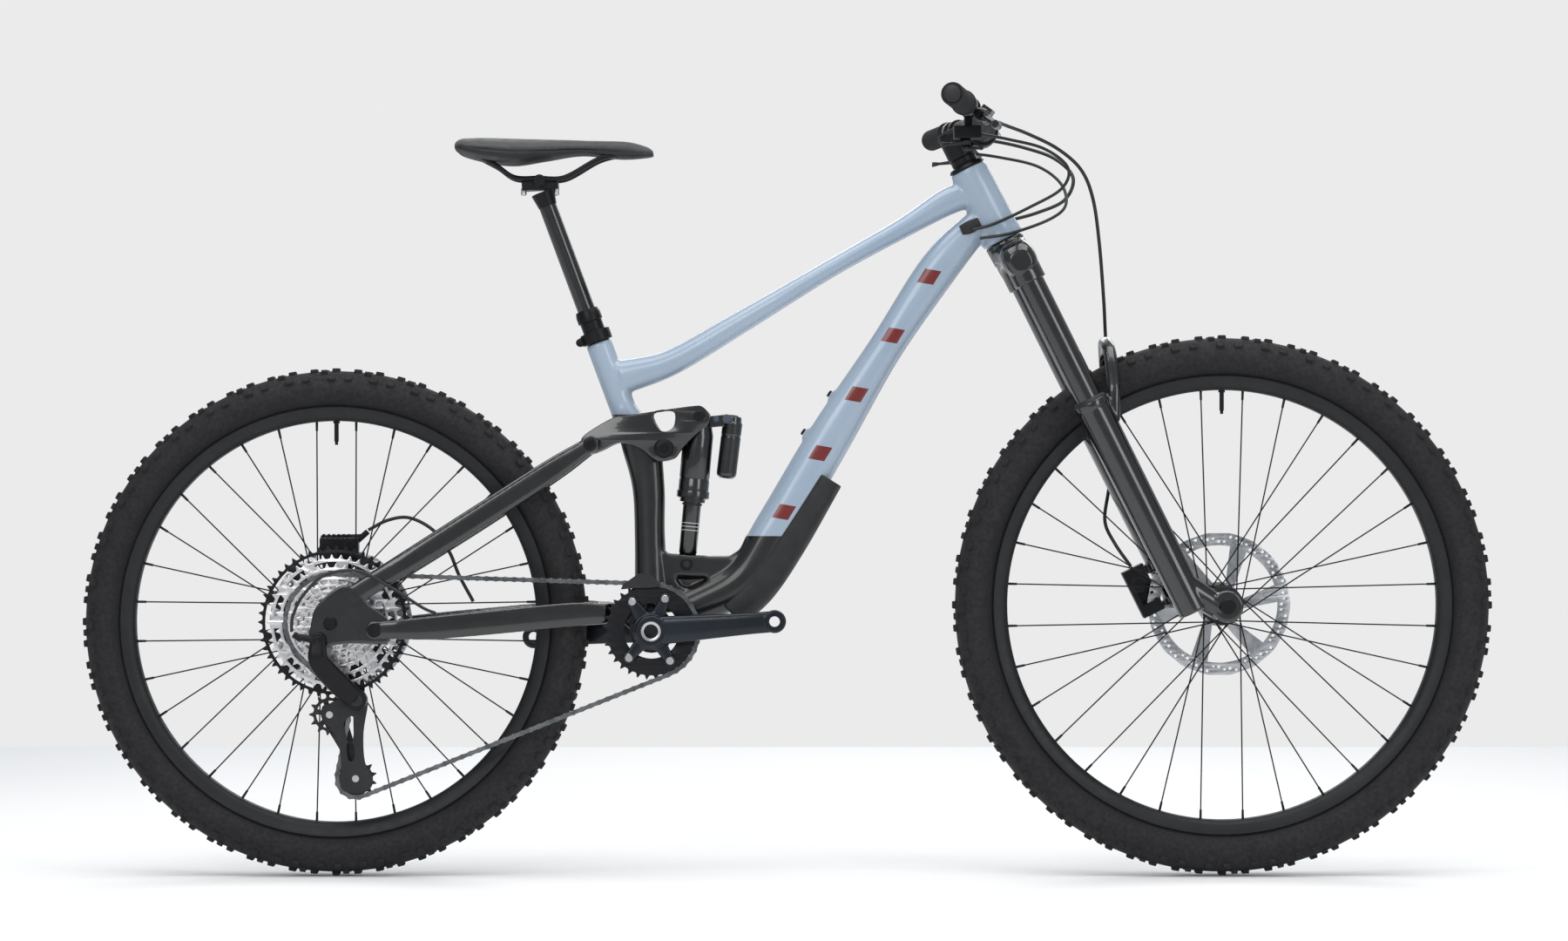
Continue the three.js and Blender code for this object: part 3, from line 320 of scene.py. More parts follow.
def show(name, shape, body, finish, replaces=(), bevel=0.0, sharp=35, fuse=None,
         relax=6, cutters=(), ride=True):
    """Adds a visible piece. fuse is a voxel size in mm that melts its parts into one skin."""
    holder = bpy.data.objects.new(name, mesh_of(name, shape))
    scene.collection.objects.link(holder)
    outward(holder)
    if fuse:
        modify(holder, "REMESH", False, mode="VOXEL", voxel_size=fuse * MM)
        modify(holder, "SMOOTH", factor=0.5, iterations=relax)
    for index, tool_shape in enumerate(cutters):
        tool = bpy.data.objects.new(f"{name}_tool_{index}", mesh_of("tool", tool_shape))
        scene.collection.objects.link(tool)
        outward(tool)
        modify(holder, "BOOLEAN", operation="DIFFERENCE", solver="MANIFOLD", object=tool)
        bpy.data.objects.remove(tool)
    if bevel:
        modify(holder, "BEVEL", width=bevel * MM, segments=2, limit_method="ANGLE",
               angle_limit=math.radians(40))
    holder.data.shade_smooth()
    holder.data.set_sharp_from_angle(angle=math.radians(sharp))
    holder.data.materials.clear()
    holder.data.materials.append(finish)
    if ride:
        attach(holder, body)
    if replaces:
        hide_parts(*([replaces] if isinstance(replaces, str) else replaces))
    return holder


# ---- finishes ----
def srgb(code):
    parts = [int(code[i:i + 2], 16) / 255 for i in (1, 3, 5)]
    return tuple(c / 12.92 if c <= 0.04045 else ((c + 0.055) / 1.055) ** 2.4 for c in parts) + (1,)


FINISHES, SLOT_OF = {}, {}  # finishes by given name, and given names by the name in use


def put(node, **values):
    """Sets input sockets; an underscore in a name stands for a space."""
    for socket, value in values.items():
        node.inputs[socket.replace("_", " ")].default_value = value


def finish(name, colour, second, rough, rough_swing=0.06, metal=0.0, grain=300, bump=0.05,
           depth=0.0002, coat=0.0, coat_rough=0.08, patch=9, sheen=0.0):
    """A procedural finish: broad colour drift, fine grain in the bump, uneven roughness."""
    made = bpy.data.materials.new(name)
    made.use_nodes = True
    tree = made.node_tree
    shader = tree.nodes["Principled BSDF"]
    put(shader, Metallic=metal, Coat_Weight=coat, Coat_Roughness=coat_rough, Sheen_Weight=sheen)
    place = tree.nodes.new("ShaderNodeTexCoord")

    def noise(scale, detail):
        node = tree.nodes.new("ShaderNodeTexNoise")
        put(node, Scale=scale, Detail=detail)
        tree.links.new(place.outputs["Object"], node.inputs["Vector"])
        return node

    broad = noise(patch, 3)
    ramp = tree.nodes.new("ShaderNodeValToRGB")
    for stop, position, code in zip(ramp.color_ramp.elements, (0.35, 0.68), (colour, second)):
        stop.position, stop.color = position, srgb(code)
    tree.links.new(broad.outputs["Fac"], ramp.inputs["Fac"])
    tree.links.new(ramp.outputs["Color"], shader.inputs["Base Color"])
    smear = noise(patch * 6, 4)
    level = tree.nodes.new("ShaderNodeMapRange")
    put(level, From_Min=0.3, From_Max=0.7, To_Min=max(0.03, rough - rough_swing),
        To_Max=rough + rough_swing)
    tree.links.new(smear.outputs["Fac"], level.inputs["Value"])
    tree.links.new(level.outputs["Result"], shader.inputs["Roughness"])
    fine = noise(grain, 2)
    lift = tree.nodes.new("ShaderNodeBump")
    put(lift, Strength=bump, Distance=depth)
    tree.links.new(fine.outputs["Fac"], lift.inputs["Height"])
    tree.links.new(lift.outputs["Normal"], shader.inputs["Normal"])
    FINISHES[name], SLOT_OF[made.name] = made, name
    return made


finish("frame_paint", "#94a5b7", "#9dadbe", 0.33, 0.04, 0.1, 900, 0.03, 0.0001, 0.45, 0.08, 5)
GLOSS = finish("gloss_black", "#070708", "#0b0b0d", 0.24, 0.05, 0.0, 900, 0.03, 0.0001, 0.8, 0.05, 6)
ALLOY = finish("black_alloy", "#141417", "#1b1b1f", 0.38, 0.07, 0.65, 1400, 0.12, 0.0001, 0.0)
MATTE = finish("matte_black", "#111113", "#17171a", 0.62, 0.08, 0.0, 1200, 0.22, 0.00015)
CRANK = finish("crank_alloy", "#171b21", "#20262e", 0.32, 0.06, 0.7, 1300, 0.08, 0.0001, 0.25, 0.12)
STEEL = finish("bare_steel", "#d6d4d5", "#bdbcbe", 0.3, 0.08, 1.0, 700, 0.06, 0.0001)
CHAIN = finish("chain_steel", "#77797b", "#595b5d", 0.30, 0.1, 1.0, 900, 0.1, 0.0001, patch=60)
ROTOR = finish("rotor_steel", "#b4b6b8", "#9b9da0", 0.30, 0.08, 1.0, 1200, 0.12, 0.0001, patch=26)
RUBBER = finish("tyre_rubber", "#0e0d10", "#151417", 0.8, 0.1, 0.0, 1500, 0.35, 0.0003, patch=30)
GRIP = finish("grip_rubber", "#121213", "#1a1a1b", 0.82, 0.08, 0.0, 1800, 0.4, 0.0002, patch=30)
COVER = finish("saddle_cover", "#2a2b2d", "#323335", 0.62, 0.08, 0.0, 1300, 0.5, 0.0003, patch=14,
               sheen=0.12)
CORD = finish("cord_cover", "#0f1011", "#17181a", 0.42, 0.06, 0.0, 1600, 0.12, 0.0001, patch=40)
PALE = finish("pale_mark", "#c9cdd1", "#b9bdc2", 0.4, 0.06, 0.1, 900, 0.03, 0.0001)
SLATE = finish("slate_mark", "#3d4652", "#48515d", 0.3, 0.05, 0.2, 900, 0.03, 0.0001, 0.5)
FLOOR = finish("floor_paper", "#f3f3f3", "#f7f7f7", 0.8, 0.05, 0.0, 60, 0.05, 0.0004, patch=0.7)

floor_mesh = bpy.data.meshes.new("floor")
FLOOR_SIDE, FLOOR_NEAR, FLOOR_FAR, FLOOR_Z = 3.6, -3.4, 2.69, -0.0005
corners = [(-FLOOR_SIDE, FLOOR_NEAR), (FLOOR_SIDE, FLOOR_NEAR), (FLOOR_SIDE, FLOOR_FAR),
           (-FLOOR_SIDE, FLOOR_FAR)]
floor_mesh.from_pydata([(x, y, FLOOR_Z) for x, y in corners], [], [(0, 1, 2, 3)])
floor = bpy.data.objects.new("floor", floor_mesh)
floor.data.materials.append(FLOOR)
scene.collection.objects.link(floor)


# ---- places shared with the frame, in millimetres ----
REAR_AXLE, FRONT_AXLE = (-626, 352), (603, 375)
BRACKET, MAIN_PIVOT, HORST = (-187.1, 340.9), (-225, 365), (-565, 343)
ROCKER_END, ROCKER_PIVOT = (-272.4, 597.6), (-170.7, 592)
SHOCK_TOP, SHOCK_FOOT = (-121.4, 636.8), (-139.6, 432.1)
HEAD_FOOT = vec(300, 0, 880.8)
STEER_UP, STEER_FORE = unit(vec(-0.446, 0, 0.895)), unit(vec(0.895, 0, 0.446))
SEAT_UP, SEAT_TOP = unit(vec(-0.3486, 0, 0.9373)), vec(-262.4, 0, 739.4)
HEAD_LENGTH = 112
LEG_Y, LEG_FORE = 66, 3
ACROSS = vec(0, 1, 0)
HANDS = (-1, 1)
RING_Y, SMALL_COG_Y, COG_STEP = -53, -67.5, 3.65
COG_TEETH = [10, 12, 14, 16, 18, 21, 24, 28, 33, 39, 45, 51]
COG_Y = SMALL_COG_Y + COG_STEP * 8
CHAIN_PITCH = 12.7
GUIDE_PULLEY, TENSION_PULLEY = (-631, 225), (-595, 137)


def side(place, y):
    return vec(place[0], y, place[1])


def steer(along, fore=0, y=0):
    return HEAD_FOOT + STEER_UP * along + STEER_FORE * fore + vec(0, y, 0)


def seat(along, fore=0):
    return SEAT_TOP + SEAT_UP * along + vec(SEAT_UP[2], 0, -SEAT_UP[0]) * fore


def side_bar(place, hand, inner, outer, radius, sides=40, bevel=0.6):
    return cross(place, *sorted((hand * inner, hand * outer)), radius, sides, bevel)


def side_plate(outline, hand, inner, outer, holes=(), bevel=0.8):
    return plate(outline, *sorted((hand * inner, hand * outer)), holes, bevel)


def lettered(hand):
    return "l" if hand > 0 else "r"


def socket_head(radius, shoulder, top_radius, top, socket, floor_at):
    """The profile of a chamfered round head with a socket in it."""
    return [(0, 0), (radius, 0), (radius, shoulder), (top_radius, top), (socket, top),
            (socket, floor_at), (0, floor_at)]


def bolt(place, y, hand, radius, high, finish_used, name, body):
    """A round bolt head with a socket, facing outwards."""
    head = socket_head(radius, high * 0.7, radius * 0.88, high, radius * 0.5, high * 0.35)
    return show(name, turned(head, side(place, y), vec(0, hand, 0), 28, False), body, finish_used)


# ---- front triangle ----
DOWN_LINE, SEAT_LINE, BEHIND = 0.471, 0.639, -0.1
TUBE_X, TUBE_Z = 0.5255, 0.8507
BARS_AT, BARS_RUN = (-0.0047, 0.5043), (-0.02, 0.41)
BAR_STEP, BAR_LONG, BAR_HALF, BAR_SLANT = 0.0955, 0.022, 0.0105, 0.4


def split_paint(made):
    """Black below the paint lines, and plain slanted red bars along the down tube."""
    tree = made.node_tree
    place = next(n for n in tree.nodes if n.type == "TEX_COORD")
    ramp = next(n for n in tree.nodes if n.type == "VALTORGB")
    shader = tree.nodes["Principled BSDF"]
    parts = tree.nodes.new("ShaderNodeSeparateXYZ")
    tree.links.new(place.outputs["Object"], parts.inputs[0])

    def maths(kind, first, second):
        node = tree.nodes.new("ShaderNodeMath")
        node.operation = kind
        for socket, value in zip(node.inputs, (first, second)):
            if isinstance(value, (int, float)):
                socket.default_value = value
            else:
                tree.links.new(value, socket)
        return node.outputs[0]

    def mixed(mask, base, code):
        node = tree.nodes.new("ShaderNodeMix")
        node.data_type = "RGBA"
        tree.links.new(mask, node.inputs["Factor"])
        tree.links.new(base, node.inputs["A"])
        node.inputs["B"].default_value = srgb(code)
        return node.outputs["Result"]

    def rotated(x_share, z_share, base):
        turned_to = maths("ADD", maths("MULTIPLY", x, x_share), maths("MULTIPLY", z, z_share))
        return maths("SUBTRACT", turned_to, base)

    x, z = parts.outputs["X"], parts.outputs["Z"]
    seat_low = maths("MULTIPLY", maths("LESS_THAN", x, BEHIND), maths("LESS_THAN", z, SEAT_LINE))
    mask = maths("MAXIMUM", maths("LESS_THAN", z, DOWN_LINE), seat_low)
    two_tone = mixed(mask, ramp.outputs["Color"], "#070708")
    run = rotated(TUBE_X, TUBE_Z, BARS_AT[0] * TUBE_X + BARS_AT[1] * TUBE_Z)
    off = rotated(-TUBE_Z, TUBE_X, -BARS_AT[0] * TUBE_Z + BARS_AT[1] * TUBE_X)
    slanted = maths("ADD", maths("ADD", run, maths("MULTIPLY", off, BAR_SLANT)), BAR_LONG / 2)
    bar = maths("LESS_THAN", maths("FLOORED_MODULO", slanted, BAR_STEP), BAR_LONG)
    for kind, value, limit in (("LESS_THAN", maths("ABSOLUTE", off, 0), BAR_HALF),
                               ("GREATER_THAN", run, BARS_RUN[0]), ("LESS_THAN", run, BARS_RUN[1])):
        bar = maths("MULTIPLY", bar, maths(kind, value, limit))
    striped = mixed(bar, two_tone, "#6b1a18")
    tree.links.new(striped, shader.inputs["Base Color"])


SPLIT = finish("two_tone_paint", "#90a1b3", "#9aa9b9", 0.32, 0.04, 0.05, 900, 0.02, 0.0001, 0.4,
               0.05, 5)
split_paint(SPLIT)

tube_along, tube_out = unit(vec(0.566, 0, 0.825)), vec(-0.825, 0, 0.566)
cradle_outline = [(-180, 462), (-166, 447), (-102, 443), (-80, 443), (-66, 452), (-57, 472),
                  (-40, 440), (-70, 390), (-120, 365), (-205, 365), (-205, 440)]
cradle_core = [(-205, 365), (-205, 415), (-118, 415), (-107.8, 443), (-80, 443), (-66, 452),
               (-57, 472), (-40, 440), (-70, 390), (-120, 365)]
cradle_window = [(-156, 414), (-111, 413), (-109, 406), (-126, 399), (-146, 400)]
ear = [(-228, 379), (-228, 351), (-205, 330), (-180, 335), (-180, 378)]
front_parts = [
    rod(steer(0), steer(HEAD_LENGTH), 29, 64, 26, 1.2),
    rod(steer(0), steer(12), 30.3, 64, 29.4, 1.2),
    mid_tube([[262, 945, 17, 17], [225, 936, 19, 20], [160, 898, 14, 21], [60, 842, 12.5, 21],
              [-65, 767, 15.5, 20], [-160, 712, 18, 19], [-232, 690, 24, 19]], 56),
    mid_tube([[272, 912, 20, 22], [213, 846, 27, 26], [136, 731, 24, 29], [61, 610, 30, 30],
              [-12, 486, 31, 31], [-62, 410, 30, 31], [-140, 368, 28, 32]], 56),
    rod(seat(0), seat(-185), 18.2, 56),
    mid_tube([[-229, 650, 16, 19], [-205, 600, 26, 20], [-193, 540, 22.5, 21],
              [-191, 470, 21, 24], [-188, 380, 24, 30]], 48),
    plate(cradle_outline, -20, -13, [cradle_window], 1.5),
    plate(cradle_outline, 13, 20, [cradle_window], 1.5),
    plate(cradle_core, -13.4, 13.4, [cradle_window], 0.5),
    cross(BRACKET, -36.4, 36.4, 27.4, 64, 1.5),
    cross(MAIN_PIVOT, -33.4, -25, 15.4), cross(MAIN_PIVOT, 25, 33.4, 15.4),
    plate(ear, -33.4, -25, (), 1), plate(ear, 25, 33.4, (), 1),
    cross(ROCKER_PIVOT, -24, 24, 14, 40, 1.2),
    box_of(vec(65, 0, 663.5), tube_along, ACROSS, (8.5, 8.5, 6)),
    box_of(vec(28.8, 0, 610.7), tube_along, ACROSS, (8.5, 8.5, 6)),
]
show("main_frame", merged(*front_parts), "frame", SPLIT, "front_triangle",
     fuse=1.7, relax=30, sharp=80,
     cutters=[rod(steer(-5), steer(30), 25, 48), rod(steer(25), steer(HEAD_LENGTH + 5), 21, 48),
              rod(seat(8), seat(-200), 15.6, 48), cross(MAIN_PIVOT, -24.7, 24.7, 16.5)])

show("guard", merged(mid_tube([[58, 550, 20, 33.2], [4, 464, 24.6, 34.2], [-40, 402, 26.6, 34.2],
                               [-78, 364, 23.6, 33.6]], 56)),
     "frame", MATTE, "downtube_guard", fuse=1.8, relax=4, sharp=60,
     cutters=[mid_tube([[136, 731, 25, 29.6], [61, 610, 30.5, 30.6], [-12, 486, 31.5, 31.6],
              [-62, 410, 30.5, 31.6], [-140, 368, 28.5, 32.6]], 48),
    cross(BRACKET, -60, 60, 62, 64)])

clamp_spot = seat(8, -24)
show("seat_clamp_ring", merged(
    turned([(15.7, 0.6), (20.2, 0.6), (21, 1.4), (21, 15.2), (20.2, 16), (15.7, 16)], SEAT_TOP,
           SEAT_UP, 56)), "frame", ALLOY, "seat_clamp")
show("seat_clamp_bolt", merged(cross((clamp_spot[0], clamp_spot[2]), -9, 9, 5.6, 24),
                               box_of(seat(8, -19.5), SEAT_UP, ACROSS, (6, 8, 3.4))),
     "frame", ALLOY, bevel=0.8)
show("dropper_collar", turned([(12.9, -176), (15.3, -176), (15.3, 30), (17.4, 31), (17.4, 41),
                               (16.6, 44), (15.6, 47.6), (12.9, 48)], SEAT_TOP, SEAT_UP, 64),
     "frame", ALLOY, "dropper_outer_tube")

for hand in HANDS:
    bolt(ROCKER_PIVOT, hand * 33.4, hand, 11.5, 3.2, ALLOY, "rocker_cap_" + lettered(hand),
         "frame")
for index, spot in enumerate([(65, 663.5), (28.8, 610.7)]):
    foot = side(spot, 0) + tube_out * 6.5
    show(f"bottle_bolt_{index}", turned(socket_head(5, 2.4, 4, 3.6, 2.2, 1.4), foot, tube_out, 24,
                                        False), "frame", ALLOY)

for hand in HANDS:
    show("cable_port_" + lettered(hand),
         merged(mid_tube([[240, 893, 7, 3, hand * 22], [252, 898, 9, 4.5, hand * 23],
                          [266, 905, 7, 3, hand * 22.5]], 24)), "frame", MATTE)


# ---- wheels ----
def on_wheel(centre, radius, angle, y):
    return side(polar(centre, radius, angle), y)


def knob(centre, angle, y, base, top, halves, lean):
    """A tapered block on the tread: halves are its half length round the tyre and half width."""
    outward_dir = vec(math.cos(angle) * math.cos(lean), math.sin(lean),
                      math.sin(angle) * math.cos(lean))
    round_dir = vec(-math.sin(angle), 0, math.cos(angle))
    wide_dir = np.cross(round_dir, outward_dir)
    foot = on_wheel(centre, base, angle, y)
    points = []
    for level, shrink in ((-2.5, 1.12), (top, 0.9)):
        for a, b in ((-1, -1), (1, -1), (1, 1), (-1, 1)):
            points.append(foot + outward_dir * level + round_dir * halves[0] * shrink * a
                          + wide_dir * halves[1] * shrink * b)
    return np.array(points), [(0, 3, 2, 1), (4, 5, 6, 7), (0, 1, 5, 4), (1, 2, 6, 5),
                              (2, 3, 7, 6), (3, 0, 4, 7)]


BEAD_RISE, BEAD_Y, KNOB_ROWS = 3.6, 16.8, 72


def tyre(name, centre, lip, outer, half, body, node):
    crown = outer - 4.6
    shape = [(lip - 5, -12.6), (lip + 1, -12.9), (lip + 3, -15.5), (lip + 9, -half + 5),
             (lip + 17, -half + 0.8), (lip + 24, -half + 0.4), (crown - 21, -half + 1.6),
             (crown - 12, -half + 5), (crown - 5, -half + 12), (crown - 1.3, -11), (crown, 0)]
    left = [(r, -y) for r, y in reversed(shape[:-1])]
    inner = [(lip - 5, 9), (lip + 6, 13), (crown - 14, 12), (crown - 10, 0), (crown - 14, -12),
             (lip + 6, -13), (lip - 5, -9)]
    casing = turned(shape + left + inner, side(centre, 0), (0, 1, 0), 192)
    blocks = []
    step = 2 * math.pi / KNOB_ROWS
    for i in range(KNOB_ROWS):
        a = 2 * math.pi * i / KNOB_ROWS
        even = i % 2 == 0
        for hand in HANDS:
            if even:
                blocks.append(knob(centre, a, hand * 5.0, crown - 0.3, 4.2, (5.2, 3.4), hand * 0.05))
                blocks.append(knob(centre, a + step * 0.5, hand * 15.5, crown - 2.6, 4.0, (4.6, 3.0),
                                   hand * 0.34))
            else:
                blocks.append(knob(centre, a, hand * 8.2, crown - 0.8, 4.2, (4.8, 3.8), hand * 0.1))
            blocks.append(knob(centre, a + (0.15 if even else 0.35) * step, hand * (half - 6.6),
                               crown - 11.2, 4.2 if even else 3.4, (5.4, 3.6), hand * 0.86))
    show(name, casing, body, RUBBER, node, sharp=40)
    show(name + "_knobs", merged(*blocks), body, RUBBER, bevel=0.5)
    beads = [turned([(lip + BEAD_RISE, s * (BEAD_Y - 0.4)), (lip + BEAD_RISE + 1.1, s * (BEAD_Y + 0.35)),
                     (lip + BEAD_RISE + 2.2, s * (BEAD_Y - 0.4))], side(centre, 0), (0, 1, 0), 160)
             for s in HANDS]
    show(name + "_bead", merged(*beads), body, RUBBER)


def rim(name, centre, inner, lip, body, node):
    profile = [(inner, -7), (inner + 1.5, -9.6), (inner + 7, -13.6), (lip - 3, -16.2), (lip - 0.6, -16.5),
               (lip, -15.8), (lip, -13.4), (lip - 6, -13.2), (lip - 7, -11), (lip - 7, 11),
               (lip - 6, 13.2), (lip, 13.4), (lip, 15.8), (lip - 0.6, 16.5), (lip - 3, 16.2),
               (inner + 7, 13.6), (inner + 1.5, 9.6), (inner, 7)]
    show(name, turned(profile, side(centre, 0), (0, 1, 0), 192), body, RIM, node)


def wheel_parts(tag, centre, inner, flange, right_y, left_y, body):
    """Crossed spokes with nipples, and a valve at the top."""
    bars, nipples = [], []
    lean_angle = math.radians(62)
    for i in range(32):
        rim_angle = (i + 0.5) * 2 * math.pi / 32
        lean = 1 if i % 4 < 2 else -1
        hub_y, rim_y = (left_y, 2) if i % 2 else (right_y, -2)
        start = on_wheel(centre, flange, rim_angle + lean * lean_angle, hub_y + lean * 1.3)
        end = on_wheel(centre, inner + 0.5, rim_angle, rim_y + lean * 1.3)
        along = unit(end - start)
        bars.append(rod(start, end - along * 12, 1.0, 10, None, 0.2))
        bars.append(turned([(0, -1.1), (1.9, -1.1), (2.1, 0), (1.9, 1.1), (0, 1.1)], start, ACROSS,
                           10, False))
        nipples.append(rod(end - along * 13, end + along * 2, 1.7, 10, 1.9, 0.3))
    show(tag + "_spokes", merged(*bars), body, ALLOY)
    show(tag + "_nipples", merged(*nipples), body, ALLOY)
    top = on_wheel(centre, inner, math.pi / 2, 0)
    down = vec(0, 0, -1)
    valve = turned([(0, -3), (3.0, -3), (3.0, 0), (4.6, 0.4), (4.6, 3), (3.1, 3.4), (3.1, 28),
                    (2.2, 29), (2.2, 33), (0, 33)], top, down, 20, False)
    show(tag + "_valve", valve, body, ALLOY)


def rotor(name, centre, y, body, node):
    def spot(radius, degrees):
        return polar(centre, radius, math.radians(degrees))

    arms = []
    for arm in range(6):
        base = arm * 60
        edge = [spot(31, base + d) for d in np.linspace(12, 47, 6)]
        edge += [spot(82, base + d) for d in np.linspace(62, 19, 9)]
        arms.append(edge)
    holes = []
    for k in range(36):
        radius = (87.5, 91.2, 94.8)[k % 3]
        holes.append(circle(spot(radius, k * 10), 2.1, 10))
        holes.append(circle(spot((91.6, 95, 87.6)[k % 3], k * 10 + 5), 1.7, 8))
    outline = [spot(100 - 1.0 * (0.5 - 0.5 * math.cos(math.radians(d * 18))), d)
               for d in np.linspace(0, 360, 241)[:-1]]
    show(name, plate(outline, y - 0.95, y + 0.95, [circle(centre, 16.4, 48), *arms, *holes], 0.15),
         body, ROTOR, node)
    show(name + "_lockring", turned([(16.2, -1.4), (21, -1.4), (22, 0), (22, 2.4), (20.4, 3.2),
                                     (16.2, 3.2)], side(centre, y), (0, 1, 0), 48),
         body, ALLOY)


RIM = finish("rim_black", "#141517", "#1b1c1f", 0.46, 0.06, 0.35, 1500, 0.1, 0.0001, patch=24)
tyre("rear_tread", REAR_AXLE, 298, 352, 30.5, "rear_wheel", "rear_tyre")
tyre("front_tread", FRONT_AXLE, 318, 375, 32, "front_wheel", "front_tyre")
rim("rear_hoop", REAR_AXLE, 278, 298, "rear_wheel", "rear_rim")
rim("front_hoop", FRONT_AXLE, 298, 318, "front_wheel", "front_rim")
show("rear_hub", turned([
    (6.8, -73.4), (10, -73.4), (10, -70.2), (17, -70), (17, -26), (27.4, -25.4), (28, -24), (28, -21),
    (26.4, -20), (19, -17), (15.5, -8), (15, 6), (16.5, 20), (26.4, 29.5), (28, 30.5), (28, 33.5),
    (27, 34.5), (21, 38), (19.5, 56), (16, 56.7), (15.9, 61), (10, 61), (10, 73.4), (6.8, 73.4)],
    side(REAR_AXLE, 0), (0, 1, 0), 64), "rear_wheel", ALLOY, "rear_spoked_hub")
show("front_hub", turned([
    (8, -54.8), (11, -54.8), (11, -36), (26, -33), (27, -32), (27, -28.6), (25.5, -27.4), (17, -23),
    (13.6, -12), (13.2, 0), (14.5, 12), (25.5, 17.2), (27, 18.4), (27, 21.6), (26, 22.6), (20, 26),
    (18.6, 36), (16, 36.6), (15.9, 41), (11, 41), (11, 54.8), (8, 54.8)],
    side(FRONT_AXLE, 0), (0, 1, 0), 64), "front_wheel", ALLOY, "front_spoked_hub")
wheel_parts("rear", REAR_AXLE, 278, 25.5, -22.5, 32, "rear_wheel")
wheel_parts("front", FRONT_AXLE, 298, 24.5, -30, 20, "front_wheel")
rotor("rear_disc", REAR_AXLE, 58, "rear_wheel", "rear_rotor")
rotor("front_disc", FRONT_AXLE, 38, "front_wheel", "front_rotor")


# ---- cassette, chainring, cranks ----
def pitch_radius(teeth):
    return CHAIN_PITCH / (2 * math.sin(math.pi / teeth))


TOOTH_ROOT, TOOTH_TIP = 3.0, 2.5


def toothed(centre, teeth):
    pitch = pitch_radius(teeth)
    shares = [(-0.24, -TOOTH_ROOT), (0, -TOOTH_ROOT - 0.5), (0.24, -TOOTH_ROOT),
              (0.4, TOOTH_TIP * 0.4), (0.47, TOOTH_TIP), (0.53, TOOTH_TIP), (0.6, TOOTH_TIP * 0.4)]
    loop = []
    for tooth in range(teeth):
        loop += [polar(centre, pitch + rise, (tooth + share) * 2 * math.pi / teeth)
                 for share, rise in shares]
    return loop


def ring_holes(centre, count, inner, outer, share=0.62, turn=0.0):
    holes = []
    for k in range(count):
        width = 2 * math.pi / count * share
        a0 = k * 2 * math.pi / count + turn
        holes.append([polar(centre, inner, a0 + t * width) for t in np.linspace(0.1, 0.9, 4)]
                     + [polar(centre, outer, a0 + t * width) for t in np.linspace(1, 0, 5)])
    return holes


silver_cogs, black_cogs = [], []
for i, teeth in enumerate(COG_TEETH):
    y = SMALL_COG_Y + COG_STEP * i
    reach = pitch_radius(teeth)
    below = pitch_radius(COG_TEETH[max(0, i - 1)])
    holes = [circle(REAR_AXLE, 18, 40)]
    if i >= 4:
        holes += ring_holes(REAR_AXLE, 6 + i // 2, max(24, below - 14), reach - 7.5, 0.66, i * 0.21)
    cog = plate(toothed(REAR_AXLE, teeth), y - 0.75, y + 0.75, holes, 0.2)
    (black_cogs if i == len(COG_TEETH) - 1 else silver_cogs).append(cog)
carrier = [turned([(18, SMALL_COG_Y + COG_STEP * i + 0.7), (21 + i * 0.4, SMALL_COG_Y + COG_STEP * i + 0.7),
                   (21 + i * 0.4, SMALL_COG_Y + COG_STEP * (i + 1) - 0.7),
                   (18, SMALL_COG_Y + COG_STEP * (i + 1) - 0.7)], side(REAR_AXLE, 0), (0, 1, 0), 40)
           for i in range(len(COG_TEETH) - 1)]
show("cassette_cogs", merged(*silver_cogs), "cogs", STEEL, "cassette")
show("cassette_largest", merged(*black_cogs), "cogs", ALLOY)
show("cassette_carrier", merged(*carrier), "cogs", ALLOY)
show("cassette_lockring", turned([(10.6, SMALL_COG_Y - 2.2), (18.4, SMALL_COG_Y - 2.2),
                                  (19, SMALL_COG_Y - 1.2), (19, SMALL_COG_Y - 0.8),
                                  (10.6, SMALL_COG_Y - 0.8)], side(REAR_AXLE, 0), (0, 1, 0), 48),
     "cogs", STEEL)
show("ring_plate", plate(toothed(BRACKET, 32), RING_Y - 1, RING_Y + 1,
                         [circle(BRACKET, 38, 64)], 0.25), "crankset", ALLOY, "chainring")

CRANK_LENGTH, TILT = 170, math.radians(4.6)
RIGHT_PEDAL = polar(BRACKET, CRANK_LENGTH, TILT)
LEFT_PEDAL = (2 * BRACKET[0] - RIGHT_PEDAL[0], 2 * BRACKET[1] - RIGHT_PEDAL[1])


def crank_arm(pedal, hand):
    along = unit(side(pedal, 0) - side(BRACKET, 0))
    up = vec(-along[2], 0, along[0])
    rows = smooth_path([[0, 19.5, 58, 74], [30, 19, 60.5, 76], [60, 17.6, 63, 78], [130, 15, 68, 82],
                        [168, 14.6, 70, 83]], 6)
    rings = [oval(side(BRACKET, hand * (inner + outer) / 2) + along * t, up * half,
                  vec(0, (outer - inner) / 2, 0), 40, 0.6) for t, half, inner, outer in rows]
    return [skin(rings), side_bar(pedal, hand, 69.8, 83.2, 15.8, 48, 1.6),
            side_bar(BRACKET, hand, 56.3, 75.8, 21.8, 56, 1.6)]


